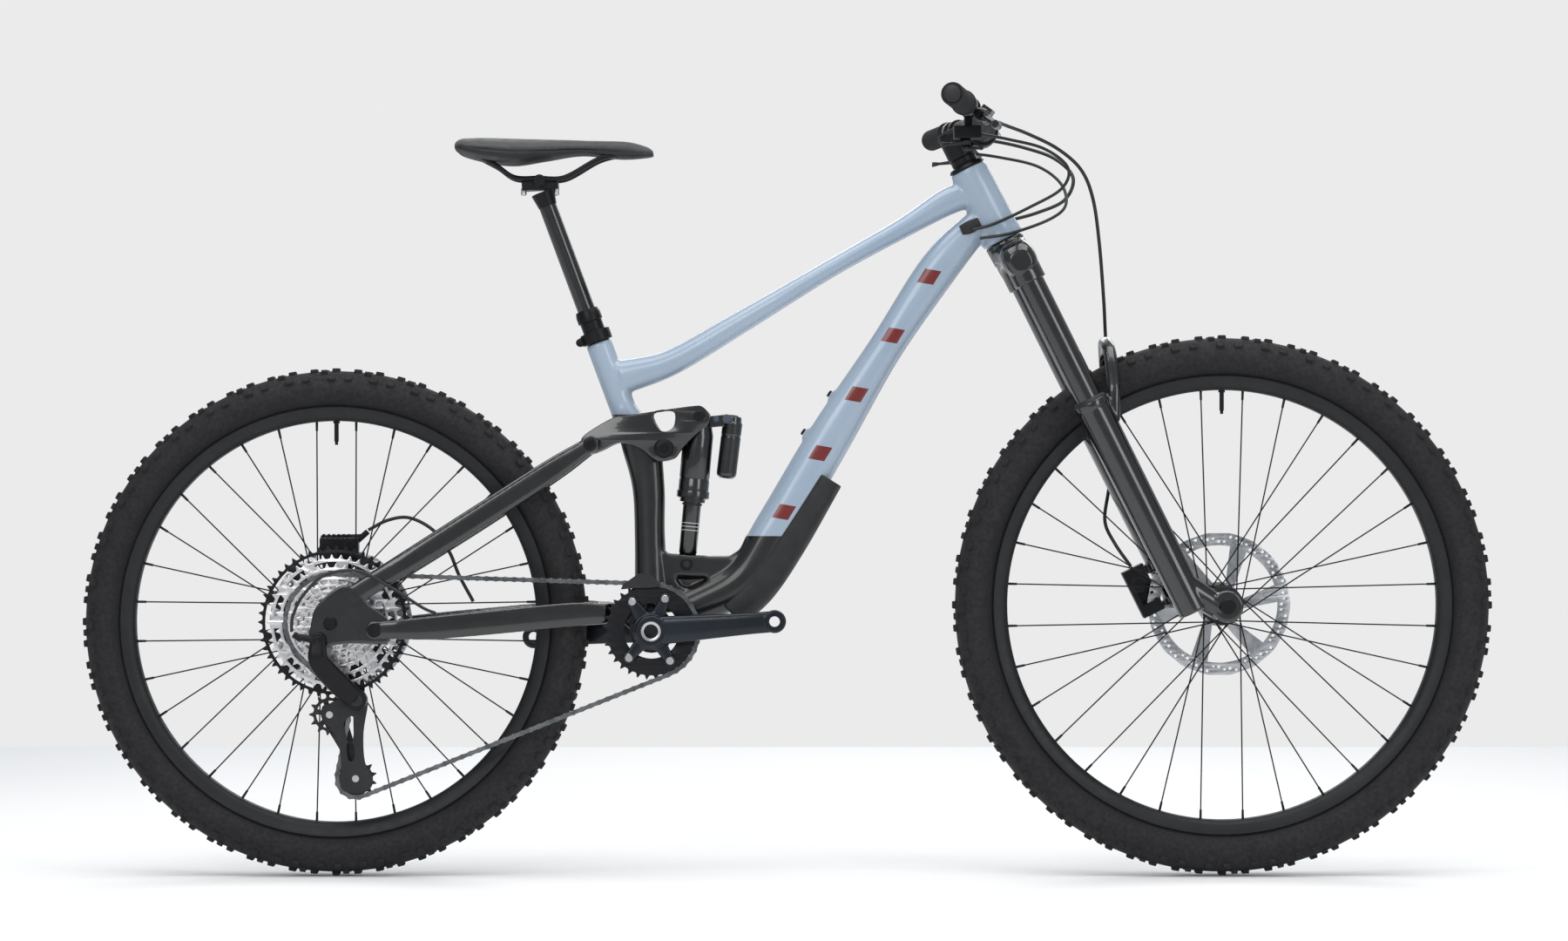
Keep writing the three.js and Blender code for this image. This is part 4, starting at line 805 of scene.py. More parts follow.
pedal_cutters = [cross(RIGHT_PEDAL, -95, 95, 7.3, 32), cross(LEFT_PEDAL, -95, 95, 7.3, 32)]
tips = []
for spot in [(-221, 393), (-164, 395), (-213, 310), (-158, 295)]:
    along = unit(side(spot, 0) - side(BRACKET, 0)) * 48
    tips.append((BRACKET[0] + along[0], BRACKET[1] + along[2]))
arms = [cross(BRACKET, -60, -54.4, 25.6, 48)]
for tip in tips:
    arms.append(rod(side(BRACKET, -57.3), side(tip, -57.3), 2.7, 16))
    spread = unit(side(tip, 0) - side(BRACKET, 0))
    arms.append(skin([oval(side(BRACKET, -57.3) + spread * t, np.cross(spread, ACROSS) * w,
                           vec(0, 2.6, 0), 24, 0.7) for t, w in ((10, 14), (28, 9), (50, 6.5))]))
    arms.append(cross(tip, -59.8, -54.4, 8, 28))
show("crank_drive", merged(*crank_arm(RIGHT_PEDAL, -1), *arms), "crankset", CRANK, "crank_right",
     fuse=0.9, relax=3, sharp=55,
     cutters=[cross(BRACKET, -95, -20, 10.8, 40), *pedal_cutters])
show("crank_spindle", merged(turned([(9.9, -75.6), (11.9, -76.2), (13.6, -76.2), (13.6, -74),
                                     (11.9, -73.6), (11.9, 78.6), (9.9, 78.6)],
                                    side(BRACKET, 0), (0, 1, 0), 48)),
     "crankset", STEEL)
show("crank_other", merged(*crank_arm(LEFT_PEDAL, 1)), "crankset", CRANK, "crank_left",
     fuse=0.9, relax=3, sharp=55,
     cutters=[cross(BRACKET, 30, 95, 12.2, 40), *pedal_cutters])
for index, tip in enumerate(tips):
    bolt(tip, -59.8, -1, 5.4, 2.2, STEEL, f"ring_bolt_{index}", "crankset")

# ---- chain: every link along the pitch line ----
WRAPS = [(BRACKET, pitch_radius(32), 1), (TENSION_PULLEY, pitch_radius(13), 1),
         (GUIDE_PULLEY, pitch_radius(13), -1), (REAR_AXLE, pitch_radius(33), 1)]


def run_angle(start, end):
    dx, dz = end[0][0] - start[0][0], end[0][1] - start[0][1]
    lean = math.asin((start[2] * start[1] - end[2] * end[1]) / math.hypot(dx, dz))
    return math.atan2(dz, dx) - lean + math.pi / 2


def pitch_line():
    line = []
    for i, (centre, radius, hand) in enumerate(WRAPS):
        before, after = WRAPS[i - 1], WRAPS[(i + 1) % 4]
        flip = 0 if hand > 0 else math.pi
        meet = run_angle(before, WRAPS[i]) + flip
        sweep = ((run_angle(WRAPS[i], after) + flip - meet) * -hand) % (2 * math.pi)
        for t in np.linspace(0, 1, 60):
            line.append(polar(centre, radius, meet - hand * sweep * t))
    return np.array(line + line[:1])


line = pitch_line()
lengths = np.concatenate([[0], np.cumsum(np.linalg.norm(np.diff(line, axis=0), axis=1))])
LINKS = int(round(lengths[-1] / CHAIN_PITCH / 2)) * 2
spots = np.linspace(0, lengths[-1], LINKS + 1)
pins = np.stack([np.interp(spots, lengths, line[:, k]) for k in (0, 1)], 1)


def chain_y(x):
    return COG_Y + min(1, max(0, (x + 560) / 307)) * (RING_Y - COG_Y)


def link_outline(half, waist, high):
    loop = []
    for hand in (1, -1):
        for d in np.linspace(-60, 60, 7):
            a = math.radians(d + (0 if hand > 0 else 180))
            loop.append((hand * half + high * math.cos(a), high * math.sin(a)))
        loop.append((0, waist * hand))
    return loop


plate_loop = link_outline(CHAIN_PITCH / 2, 2.7, 3.85)


def link_plate(start, end, y0, y1):
    middle, along = (start + end) / 2, (end - start) / np.linalg.norm(end - start)
    rings = []
    for y in (y0, y1):
        ring = [vec(middle[0] + a * along[0] - b * along[1], y + chain_y(middle[0] + a * along[0]),
                    middle[1] + a * along[1] + b * along[0]) for a, b in plate_loop]
        rings.append(np.array(ring))
    return skin(rings)


# The chain is cut where it changes body: on the chainring, two free runs, and on the cogs.
CHAIN_FRONT, CHAIN_MIDDLE, CHAIN_REAR = -236, -400, -553
groups = {"front": [], "run_front": [], "run_rear": [], "rear": []}
for i in range(LINKS):
    start, end = pins[i], pins[i + 1]
    x = (start[0] + end[0]) / 2
    group = ("front" if x > CHAIN_FRONT else "run_front" if x > CHAIN_MIDDLE
             else "run_rear" if x > CHAIN_REAR else "rear")
    reach = (1.25, 1.75) if i % 2 else (1.8, 2.35)
    for hand in HANDS:
        groups[group].append(link_plate(start, end, *sorted((hand * reach[0], hand * reach[1]))))
    y = chain_y(start[0])
    groups[group].append(cross(start, y - 2.55, y + 2.55, 1.8, 10, 0.2))
    groups[group].append(cross(start, y - 1.2, y + 1.2, 3.7, 16, 0.2))
for group, links in groups.items():
    crossing = group in ("run_front", "run_rear")
    piece = show("chain_" + group, merged(*links), {"front": "frame", "rear": "seatstay"}.get(group),
                 CHAIN, "chain" if group == "front" else (), ride=not crossing)
    if group == "run_front":
        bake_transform(piece)
    if group == "run_rear":
        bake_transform(piece)


# ---- rear suspension ----
def handed(rows, hand):
    return [row[:4] + [hand * row[4]] for row in rows]


stay_parts = [cross(MAIN_PIVOT, -24.2, 24.2, 15, 48, 1.2),
              box_of(vec(-246, 0, 365), vec(1, 0, 0), ACROSS, (18, 24.2, 13)),
              box_of(vec(-255, 0, 365), vec(1, 0, 0), ACROSS, (8, 43.5, 13.5))]
for hand in HANDS:
    stay_parts += [
        mid_tube(handed([[-250, 364, 14, 5.5, 41.5], [-300, 363, 17, 5.5, 48], [-420, 352, 17, 6, 66],
                         [-490, 346, 16, 5, 80], [-530, 344, 13.5, 4, 86.8],
                         [-560, 343, 12, 4, 86.8]], hand), 40, 0.7),
        side_bar(HORST, hand, 83, 90.6, 12.3), side_bar(HORST, hand, 76, 90, 5.8)]
show("chainstay_pair", merged(*stay_parts), "chainstay", GLOSS, "chainstays",
     fuse=1.5, relax=5, sharp=60, cutters=[
         cross(MAIN_PIVOT, -24.8, 24.8, 7.4),
         *[side_bar(MAIN_PIVOT, hand, 24.5, 46, 17) for hand in HANDS]])

dropout = rounded([(-646, 374), (-653, 350), (-655, 326), (-640, 315), (-622, 322), (-590, 325),
                   (-548, 325), (-543, 342), (-549, 360), (-576, 379), (-600, 404), (-622, 398)], 4)
seat_parts = [rod(vec(-318.8, -44, 565.4), vec(-318.8, 44, 565.4), 5.5, 28),
              plate([(-655, 436), (-650, 380), (-600, 385), (-598, 436)], 75.3, 81.7, (), 1)]
for hand in HANDS:
    seat_parts += [
        mid_tube(handed([[-277, 594, 11.5, 5.5, 40.2], [-330, 559, 15.5, 5.5, 46],
                         [-440, 488, 16, 6, 62], [-530, 431, 15, 5, 75.5],
                         [-598, 388, 14, 3.6, 78.4]], hand), 40, 0.7),
        side_bar(ROCKER_END, hand, 34.7, 45.3, 12.3), side_plate(dropout, hand, 75.3, 81.7)]
show("seatstay_pair", merged(*seat_parts), "seatstay", GLOSS, "seatstays",
     fuse=1.5, relax=5, sharp=60,
     cutters=[cross(REAR_AXLE, -95, 95, 6.4), cross(HORST, -95, 95, 6.4)])
show("rear_through_axle", merged(cross(REAR_AXLE, -88, 84, 5.9, 32),
                                 turned(socket_head(9, 4, 7.8, 5.4, 4, 2),
                                        side(REAR_AXLE, -82.5), (0, -1, 0), 36, False)),
     "seatstay", ALLOY, "rear_axle")
show("main_axle", merged(cross(MAIN_PIVOT, -37, 37, 6.9, 36),
                         turned(socket_head(9.8, 2.2, 8.8, 3.2, 4, 1),
                                side(MAIN_PIVOT, -33.9), (0, -1, 0), 36, False)),
     "frame", ALLOY, "main_pivot_axle")
for hand in HANDS:
    tag = lettered(hand)
    bolt(HORST, hand * 90.7, hand, 10, 0.1, ALLOY, "horst_cap_" + tag, "chainstay")
    bolt(ROCKER_END, hand * 45.4, hand, 8.5, 2.0, ALLOY, "stay_cap_" + tag, "seatstay")

rocker_outline = rounded([(-285, 598), (-280, 611), (-242, 634), (-221, 638), (-175, 645),
                          (-131, 651), (-117, 650), (-107, 638), (-110, 625), (-129, 609),
                          (-147, 590), (-157, 578), (-175, 574), (-188, 580), (-203, 592),
                          (-231, 600), (-257, 589), (-272, 584), (-283, 588)], 5)
rocker_window = rounded([(-186, 640), (-158, 643), (-156, 626), (-163, 617), (-176, 618)], 4)
rocker_bores = [circle(ROCKER_PIVOT, 8.7, 40), circle(ROCKER_END, 5, 28), circle(SHOCK_TOP, 5, 28)]
for hand in HANDS:
    tag = lettered(hand)
    show("rocker_cheek_" + tag, side_plate(rocker_outline, hand, 26.1, 32.9,
                                           [rocker_window, *rocker_bores], 1.6),
         "rocker", GLOSS, "rocker_link" if hand > 0 else ())
    bolt(SHOCK_TOP, hand * 32.9, hand, 7.5, 2.4, ALLOY, "shock_bolt_" + tag, "rocker")
    rim_ring = turned([(8.8, 0), (13.6, 0), (13.6, 1.0), (12.6, 1.8), (8.8, 1.8)],
                      side(ROCKER_PIVOT, hand * 32.6), (0, hand, 0), 48)
    show("rocker_bearing_" + tag, rim_ring, "rocker", ALLOY)
show("rocker_bridge", rod(vec(-146, -27, 629), vec(-146, 27, 629), 4.4, 24), "rocker", GLOSS)
show("rocker_axle", cross(ROCKER_PIVOT, -33.8, 33.8, 7.9, 40), "frame", STEEL, "rocker_pivot_axle")

# ---- shock ----
shock_down = unit(side(SHOCK_FOOT, 0) - side(SHOCK_TOP, 0))
shock_from = side(SHOCK_TOP, 0)
show("shock_can_shell", merged(
    turned([(13.4, 2), (16.8, 3), (18.5, 16), (20.4, 24), (20.9, 27), (20.9, 84), (20.3, 86),
            (20.3, 88), (20.9, 89.5), (20.9, 103.4), (22.2, 104), (22.4, 105), (22.4, 113),
            (21.6, 114), (17.4, 115), (17.4, 119.6), (13.2, 120), (13.2, 60), (13.2, 40)],
           shock_from, shock_down, 72, True),
    cross(SHOCK_TOP, -24.8, 24.8, 12.8, 48, 1.2)), "shock_can", GLOSS, "shock_body")
reservoir_top, reservoir_end = vec(-76, 0, 629), vec(-85.5, 0, 550)
reservoir_axis = unit(reservoir_end - reservoir_top)
show("shock_reservoir", merged(
    turned([(0.1, -10), (8, -9.6), (11.6, -7), (12.4, 0), (13.9, 1.5), (13.9, 18), (13.2, 19),
            (13.2, 20.4), (13.9, 21.4), (13.9, 72), (13.2, 75.5), (9, 79), (0.1, 79.4)],
           reservoir_top, reservoir_axis, 56, False),
    box_of(vec(-97, 0, 630), unit(vec(1, 0, 0.1)), ACROSS, (16, 9, 8))),
     "shock_can", GLOSS, fuse=0.8, relax=3, sharp=50)
show("shock_knobs", merged(
    cross((-84, 633), -15.5, -9.5, 6.5, 24, 0.8), cross((-99, 633), -13.5, -8.5, 4.6, 20, 0.8)),
     "shock_can", SLATE)
show("shock_rod", merged(
    turned([(0.1, 112), (12.4, 112), (12.4, 190), (11.4, 191.5), (11.4, 197), (0.1, 197)],
           shock_from, shock_down, 64, False),
    cross(SHOCK_FOOT, -12.2, 12.2, 11, 44, 1), cross(SHOCK_FOOT, -21.8, 21.8, 4.9, 32)),
     "damper_rod", GLOSS, "shock_shaft")
show("sag_lines", merged(*[turned([(12.3, s), (12.5, s + 0.15), (12.5, s + 1.05), (12.3, s + 1.2)],
                                  shock_from, shock_down, 64) for s in (148, 153, 158)]),
     "damper_rod", PALE)
# The can pushes its ring along the shaft, so the ring moves with the can.
show("sag_ring", turned([(12.5, 121), (14, 121.4), (14, 123.6), (12.5, 124)], shock_from,
                        shock_down, 56), "shock_can", MATTE)
for hand in HANDS:
    bolt(SHOCK_FOOT, hand * 20.2, hand, 8.6, 2.6, ALLOY, "foot_bolt_" + lettered(hand), "frame")

# ---- rear brake, derailleur and chain guide ----
rear_slot = [cross(REAR_AXLE, 56, 60, 103, 96),
             plate([(-640, 424), (-612, 424), (-612, 446), (-640, 446)], 50, 66)]
caliper_parts = [
    box_of(vec(-628, 57.5, 452), vec(1, 0, 0), ACROSS, (27, 11, 15)),
    cross((-644, 450), 46.4, 50, 12.5, 40, 1.5), cross((-612, 454), 46.4, 50, 10, 36, 1.5),
    cross((-644, 450), 65, 71.6, 12.5, 40, 1.5), cross((-612, 454), 65, 71.6, 10, 36, 1.5),
    rod(vec(-655, 63, 466), vec(-598, 63, 468), 4.6, 24),
    rod(vec(-604, 60, 462), vec(-588.5, 62, 476), 4.2, 24),
    box_of(vec(-626, 68, 444), vec(1, 0, 0), ACROSS, (23.6, 6.2, 7)),
]
caliper_parts += [box_of(vec(-650 + 7 * k, 58, 468), vec(1, 0, 0), ACROSS, (1.6, 9, 4.6))
                  for k in range(6)]
show("rear_brake", merged(*caliper_parts), "seatstay", ALLOY, "rear_caliper",
     fuse=0.8, relax=3, sharp=50, cutters=rear_slot)

mech_parts = [side_bar((-642, 329), -1, 82.8, 92.8, 10.8),
              mid_tube([[-642, 327, 11, 5, -89], [-640, 300, 14, 6, -90], [-614, 268, 15, 7, -72],
                        [-593, 247, 13.6, 8, -60]], 40, 0.7),
              cross((-592, 246), -65.8, -46.2, 14.2, 48, 1.4),
              rod(vec(-642, -88, 329), vec(-668, -88, 334), 5.8, 24, 4.4),
              rod(vec(-664, -88, 330), vec(-675.6, -88, 337.6), 4.8, 24)]
show("mech", merged(*mech_parts), "seatstay", ALLOY, "derailleur_body",
     fuse=0.9, relax=4, sharp=50)
bolt((-642, 329), -92.8, -1, 7, 1.4, ALLOY, "hanger_bolt", "seatstay")
bolt((-592, 246), -65.8, -1, 8.5, 1.2, MATTE, "clutch_cap", "seatstay")
outer_cage = rounded([(-641, 236), (-630, 241), (-600, 257), (-582, 254), (-578, 240), (-584, 200),
                      (-582, 160), (-571, 138), (-577, 121), (-600, 117), (-616, 126), (-615, 160),
                      (-622, 195), (-641, 218)], 4)
inner_cage = rounded([(-641, 233), (-622, 237), (-604, 205), (-592, 160), (-579, 142), (-582, 123),
                      (-600, 119), (-612, 128), (-613, 165), (-641, 215)], 4)
windows = [rounded([(-611, 214), (-598, 222), (-599, 190), (-607, 190)], 4),
           rounded([(-607, 184), (-598, 184), (-597, 163), (-605, 163)], 4)]
show("mech_cage", merged(plate(outer_cage, -45.5, -43.9, windows, 0.4),
                         plate(inner_cage, -33.7, -32.3, (), 0.3),
                         cross(GUIDE_PULLEY, -45.5, -32.3, 3, 20),
                         cross(TENSION_PULLEY, -45.5, -32.3, 3, 20)),
     "seatstay", MATTE, "derailleur_cage")
for tag, place, body, node in (("upper", GUIDE_PULLEY, "upper_jockey", "guide_pulley"),
                               ("lower", TENSION_PULLEY, "lower_jockey", "tension_pulley")):
    show(tag + "_wheel", merged(
        plate(toothed(place, 13), COG_Y - 0.95, COG_Y + 0.95,
              [circle(place, 3.6, 24), *ring_holes(place, 6, 11, 19, 0.6)], 0.2),
        turned([(3.6, -3.5), (7.4, -3.5), (8, -2.8), (8, 2.8), (7.4, 3.5), (3.6, 3.5)],
               side(place, COG_Y), (0, 1, 0), 32)), body, MATTE, node)
    bolt(place, -45.5, -1, 4.8, 0.1, STEEL, tag + "_bolt", "seatstay")


# ---- fork ----
def leg(hand, start, end, radius, sides=48, end_radius=None, bevel=0.6):
    return rod(steer(start, LEG_FORE, hand * LEG_Y), steer(end, LEG_FORE, hand * LEG_Y), radius,
               sides, end_radius, bevel)


crown_rows = [(-89.5, -38, 14, 14), (-82, -36, 21, 21), (-66, -33, 24, 24), (-38, -22, 15.5, 23),
              (0, -18, 14, 27.5), (38, -22, 15.5, 23), (66, -33, 24, 24), (82, -36, 21, 21),
              (89.5, -38, 14, 14)]
rows = smooth_path(crown_rows, 6)
crown = skin([oval(steer(along, 1 + min(1, abs(y) / 40) * 2, y), STEER_UP * high, STEER_FORE * deep,
                   48, 0.75) for y, along, high, deep in rows])
show("fork_crown", merged(crown, rod(steer(-30), steer(-0.8), 26.5, 64, 27.8),
                          *[leg(hand, -69.6, -30, 22.8) for hand in HANDS]),
     "steering", GLOSS, "fork_upper", fuse=1.3, relax=5, sharp=50)
show("steerer", merged(rod(steer(-30), steer(28), 19.4, 40), rod(steer(20), steer(167.3), 14.2, 40)),
     "steering", ALLOY)
show("stanchions", merged(*[leg(hand, -385, -60, 18.9, 64) for hand in HANDS]), "steering",
     GLOSS)

arch = [(-290, 21, 66), (-262, 35, 65.5), (-245, 43, 63), (-208, 58, 47), (-193, 62.5, 20)]
arch_points = [steer(a, f, -y) for a, f, y in arch] + [steer(-191, 63, 0)]
arch_points += [steer(a, f, y) for a, f, y in reversed(arch)]
arch_path = smooth_path(arch_points, 6)
arch_rings = []
for i, point in enumerate(arch_path):
    along = unit(arch_path[min(i + 1, len(arch_path) - 1)] - arch_path[max(i - 1, 0)])
    first = unit(np.cross(along, STEER_FORE))
    arch_rings.append(oval(point, first * 8.6, np.cross(along, first) * 8.8, 28, 0.75))
lower_parts = [skin(arch_rings)]
for hand in HANDS:
    lower_parts += [
        leg(hand, -575, -252.4, 22.3, 64, 23.4, 1.2), leg(hand, -263, -252.2, 24.9, 64, None, 1.2),
        rod(steer(-540, 8, hand * LEG_Y), steer(-590, 38, hand * LEG_Y), 18.8, 48, 16.8, 2),
        side_bar(FRONT_AXLE, hand, 55.6, 82.3, 21.8, 56, 1.6)]
for along in (-500, -556):
    lower_parts.append(box_of(steer(along, -18, 52), STEER_UP, ACROSS, (7, 8, 5.5)))
show("fork_casting", merged(*lower_parts), "fork_slider", GLOSS, "fork_lowers",
     fuse=1.4, relax=6, sharp=55, cutters=[
         *[leg(hand, -560, -246, 20.2, 48) for hand in HANDS],
         cross(FRONT_AXLE, -100, 100, 7.9, 40),
         *[side_bar(FRONT_AXLE, hand, 82.6, 100, 12, 40) for hand in HANDS]])
for hand in HANDS:
    tag = lettered(hand)
    foot = steer(-252, LEG_FORE, hand * LEG_Y)
    show("wiper_" + tag, turned([(19.1, -2), (24.2, -2), (24.4, 0), (23.4, 1.6), (20.6, 4.2),
                                 (19.1, 4.2)], foot, STEER_UP, 64), "fork_slider", MATTE)
    end = steer(-589, 37.4, hand * LEG_Y)
    along = unit(steer(-590, 38, 0) - steer(-540, 8, 0))
    show("foot_nut_" + tag, turned(socket_head(6.5, 2, 5.5, 3, 3, 1),
                                   end, along, 6, False), "fork_slider", ALLOY)
    top = steer(-15.5, LEG_FORE, hand * LEG_Y)
    show("leg_cap_" + tag, turned([(0, 0), (16.5, 0), (16.5, 2.6), (15, 4), (9, 4), (8.4, 5.6),
                                   (0, 5.6)], top, STEER_UP, 40, False), "steering",
         SLATE if hand > 0 else ALLOY)
show("front_through_axle", merged(
    cross(FRONT_AXLE, -85.6, 84, 7.3, 36),
    turned(socket_head(10.8, 1.8, 9.6, 2.8, 4, 1),
           side(FRONT_AXLE, -83.1), (0, -1, 0), 40, False)), "fork_slider", ALLOY, "front_axle")
show("front_brake", merged(
    box_of(steer(-524, -41, 42), STEER_UP, ACROSS, (35.4, 12.2, 16.4)),
    box_of(steer(-528, -30, 50), STEER_UP, ACROSS, (33.6, 5.8, 5.8)),
    cross((steer(-514, -43)[0], steer(-514, -43)[2]), 28.6, 31, 10.5, 32)),
     "fork_slider", ALLOY, "front_caliper", fuse=0.9, relax=5, sharp=50,
     cutters=[cross(FRONT_AXLE, 36, 40, 103, 96),
              box_of(steer(-530, -36, 38), STEER_UP, ACROSS, (12, 9, 14))])


# ---- headset, stem and bar ----
show("headset_upper", turned([(14.8, HEAD_LENGTH + 0.4), (25.6, HEAD_LENGTH + 0.4), (26, HEAD_LENGTH + 1.2),
                              (24, HEAD_LENGTH + 5), (18.2, HEAD_LENGTH + 7), (18.2, 119.6),
                              (17.8, 120), (18.2, 120.4), (18.2, 127.6), (14.8, 128)],
                             HEAD_FOOT, STEER_UP, 64), "steering", ALLOY, "steerer_spacers")
STEM_RISE, BAR_FORE = 148.7, 40.6
bar_middle = steer(STEM_RISE, BAR_FORE)
bar_hole = rod(bar_middle - ACROSS * 40, bar_middle + ACROSS * 40, 17.7, 56)

show("stem_body", merged(
    rod(steer(128.6), steer(166.8), 19.4, 56, None, 1.2),
    skin([oval(steer(STEM_RISE, f), STEER_UP * h, ACROSS * w, 40, 0.7)
          for f, h, w in ((4, 15, 15), (18, 12.5, 13.5), (30, 16, 19), (40, 19, 23))]),
    rod(bar_middle + vec(0, -24, 0), bar_middle + vec(0, 24, 0), 22.4, 56, None, 1.5)),
     "steering", ALLOY, "stem", fuse=0.9, relax=4, sharp=50,
     cutters=[bar_hole,
              box_of(steer(STEM_RISE, 71.1), STEER_UP, ACROSS, (40, 40, 30))])
show("stem_plate", rod(bar_middle + vec(0, -22.8, 0), bar_middle + vec(0, 22.8, 0), 22.2, 56, None, 1.5),
     "steering", ALLOY, "stem_faceplate", fuse=0.9, relax=3, sharp=50,
     cutters=[bar_hole,
              box_of(steer(STEM_RISE, 11.8), STEER_UP, ACROSS, (40, 40, 30)),
              box_of(steer(STEM_RISE, 61), STEER_UP, ACROSS, (9, 10, 6))])
show("top_cap", turned([(0, 0), (17.6, 0), (17.6, 2.2), (16.4, 3.4), (5, 3.4), (4.2, 1.4), (0, 1.4)],
                       steer(167), STEER_UP, 48, False), "steering", MATTE)
for index, (rise, y) in enumerate([(15, -17), (15, 17), (-15, -17), (-15, 17)]):
    spot = steer(STEM_RISE + rise, BAR_FORE + 16.5, y)
    show(f"face_bolt_{index}", turned(socket_head(4.2, 2.6, 3.4, 3.4, 2, 1),
                                      spot, STEER_FORE, 20, False), "steering", STEEL)

BAR_POINTS = [(0, 270, 1032), (30, 270, 1032), (78, 262, 1042), (125, 254.5, 1049), (390, 213, 1050)]


def bar_at(reach, hand):
    ys = [p[0] for p in BAR_POINTS]
    return vec(np.interp(reach, ys, [p[1] for p in BAR_POINTS]), hand * reach,
               np.interp(reach, ys, [p[2] for p in BAR_POINTS]))


stations = [389.8, 388, 330, 260, 190, 125, 100, 78, 54, 30]
sizes = {389.8: 9.9, 100: 12.4, 78: 14, 54: 16.2, 30: 17.4}
bar_rings = []
for hand, order in ((-1, stations), (1, stations[::-1])):
    for reach in order:
        size = sizes.get(reach, 11.1)
        bar_rings.append(oval(bar_at(reach, hand), vec(size, 0, 0), vec(0, 0, size), 48))
show("bar", skin(bar_rings), "steering", MATTE, "handlebar", sharp=60)

FORE_DOWN = unit(vec(0.82, 0, -0.572))
for tag, hand in (("right", -1), ("left", 1)):
    outward_dir = unit(bar_at(380, hand) - bar_at(200, hand))
    upright = unit(np.cross(FORE_DOWN, outward_dir))

    def near(reach, fore=0, rise=0):
        return bar_at(reach, hand) + FORE_DOWN * fore + upright * rise

    start = near(256.2)
    profile = [(11.6, 0), (16.6, 0), (16.9, 1), (16.9, 5.4), (15.2, 6.4)]
    ribs = 27
    for k in range(ribs):
        s = 10 + k * 4.1
        profile += [(14.3, s), (15.3, s + 0.8), (15.3, s + 2.5), (14.3, s + 3.3)]
    profile += [(15.0, 122), (15.4, 124), (15.4, 128), (14.6, 129.4), (11.6, 129.6)]
    show("handgrip_" + tag, turned(profile, start, outward_dir, 72), "steering", GRIP,
         "grip_" + tag)
    show("grip_plug_" + tag, turned([(0, 0), (10.6, 0), (10.6, 1.4), (9.6, 2), (0, 2.1)],
                                    near(386), outward_dir, 40, False), "steering", MATTE)
    show("brake_clamp_" + tag, merged(
        rod(near(190, 28), near(247.6, 26), 8.3, 40, 9.8, 1.5),
        rod(near(190, 28), near(178.4, 28), 4.4, 24),
        rod(near(222.4), near(233.6), 15.3, 48),
        box_of(near(228, 16), outward_dir, upright, (5.6, 5.6, 8)),
        box_of(near(214, 26, hand * 8), outward_dir, FORE_DOWN, (17.4, 7.6, 6.6))),
         "steering", GLOSS, "brake_body_" + tag, fuse=0.8, relax=4, sharp=50,
         cutters=[rod(near(198), near(258), 11.5, 40),
                  box_of(near(250, 36), outward_dir, upright, (14, 4.5, 13))])
    pin = near(243, 31)
    blade_rows = smooth_path([[245, 33, 5, 3.4], [256, 46, 5.6, 3.6], [270, 56, 5.6, 3.9],
                              [300, 60, 4.8, 5.6], [326, 60.2, 4.8, 5.9], [337.4, 61, 5.0, 5.4]], 6)
    show("lever_blade_" + tag, merged(
        rod(pin - upright * 3.9, pin + upright * 3.9, 5.9, 32),
        skin([oval(near(r, f), FORE_DOWN * d, upright * h, 32, 0.75) for r, f, d, h in blade_rows])),
         "lever_" + tag, GLOSS, "brake_lever_" + tag, fuse=0.7, relax=3, sharp=50)

for tag, hand, node, wide in (("gear", -1, "shifter_body", 15), ("post", 1, "dropper_remote_body", 9)):
    middle = bar_at(180, hand) + vec(-4, 0, -33)
    show(tag + "_remote", merged(
        rod(bar_at(181.2, hand), bar_at(190.8, hand), 14.8, 40),
        box_of(bar_at(186, hand) + vec(-2, 0, -18), vec(1, 0, 0), ACROSS, (5.6, 4.8, 9)),
        box_of(middle, vec(1, 0, 0), ACROSS, (wide + 3.5, wide - 0.4, 8.6)),
        rod(middle + vec(-wide - 2, 0, -2), middle + vec(wide + 2, 0, -2), 8, 28)),
         "steering", ALLOY, node, fuse=0.8, relax=5, sharp=50,
         cutters=[rod(bar_at(156, hand), bar_at(216, hand), 11.5, 40)])


def paddle(name, hub, pad, halves, high, body, node):
    arm = pad - hub
    rows = [(0.0, 5, high / 2 - 0.1), (0.35, 4.4, 2.6), (0.7, 4, 2), (0.85, halves[0] * 0.85, 3),
            (1.0, halves[0] * 0.96, halves[1] * 0.9)]
    show(name, merged(rod(hub - vec(0, 0, high / 2), hub + vec(0, 0, high / 2), 6.8, 32),
                      skin([oval(hub + arm * t, ACROSS * w, vec(0, 0, h), 32, 0.7) for t, w, h in rows])),
         body, MATTE, node, fuse=0.7, relax=3, sharp=50)


hub = bar_at(180, -1) + vec(-6, 0, -46)
paddle("gear_paddle", hub, hub + vec(-33, -16, -5), (9, 4), 6, "paddle_main", "shift_paddle_main")
second_hub = hub + vec(2, 0, -9)
paddle("release_paddle", second_hub, second_hub + vec(20, -30, -1), (6, 3), 5, "paddle_release",
       "shift_paddle_release")
left_hub = bar_at(180, 1) + vec(-4, 0, -46)
paddle("post_paddle", left_hub, left_hub + vec(-34, 14, -3), (9, 4), 6, "dropper_thumb",
       "dropper_lever")

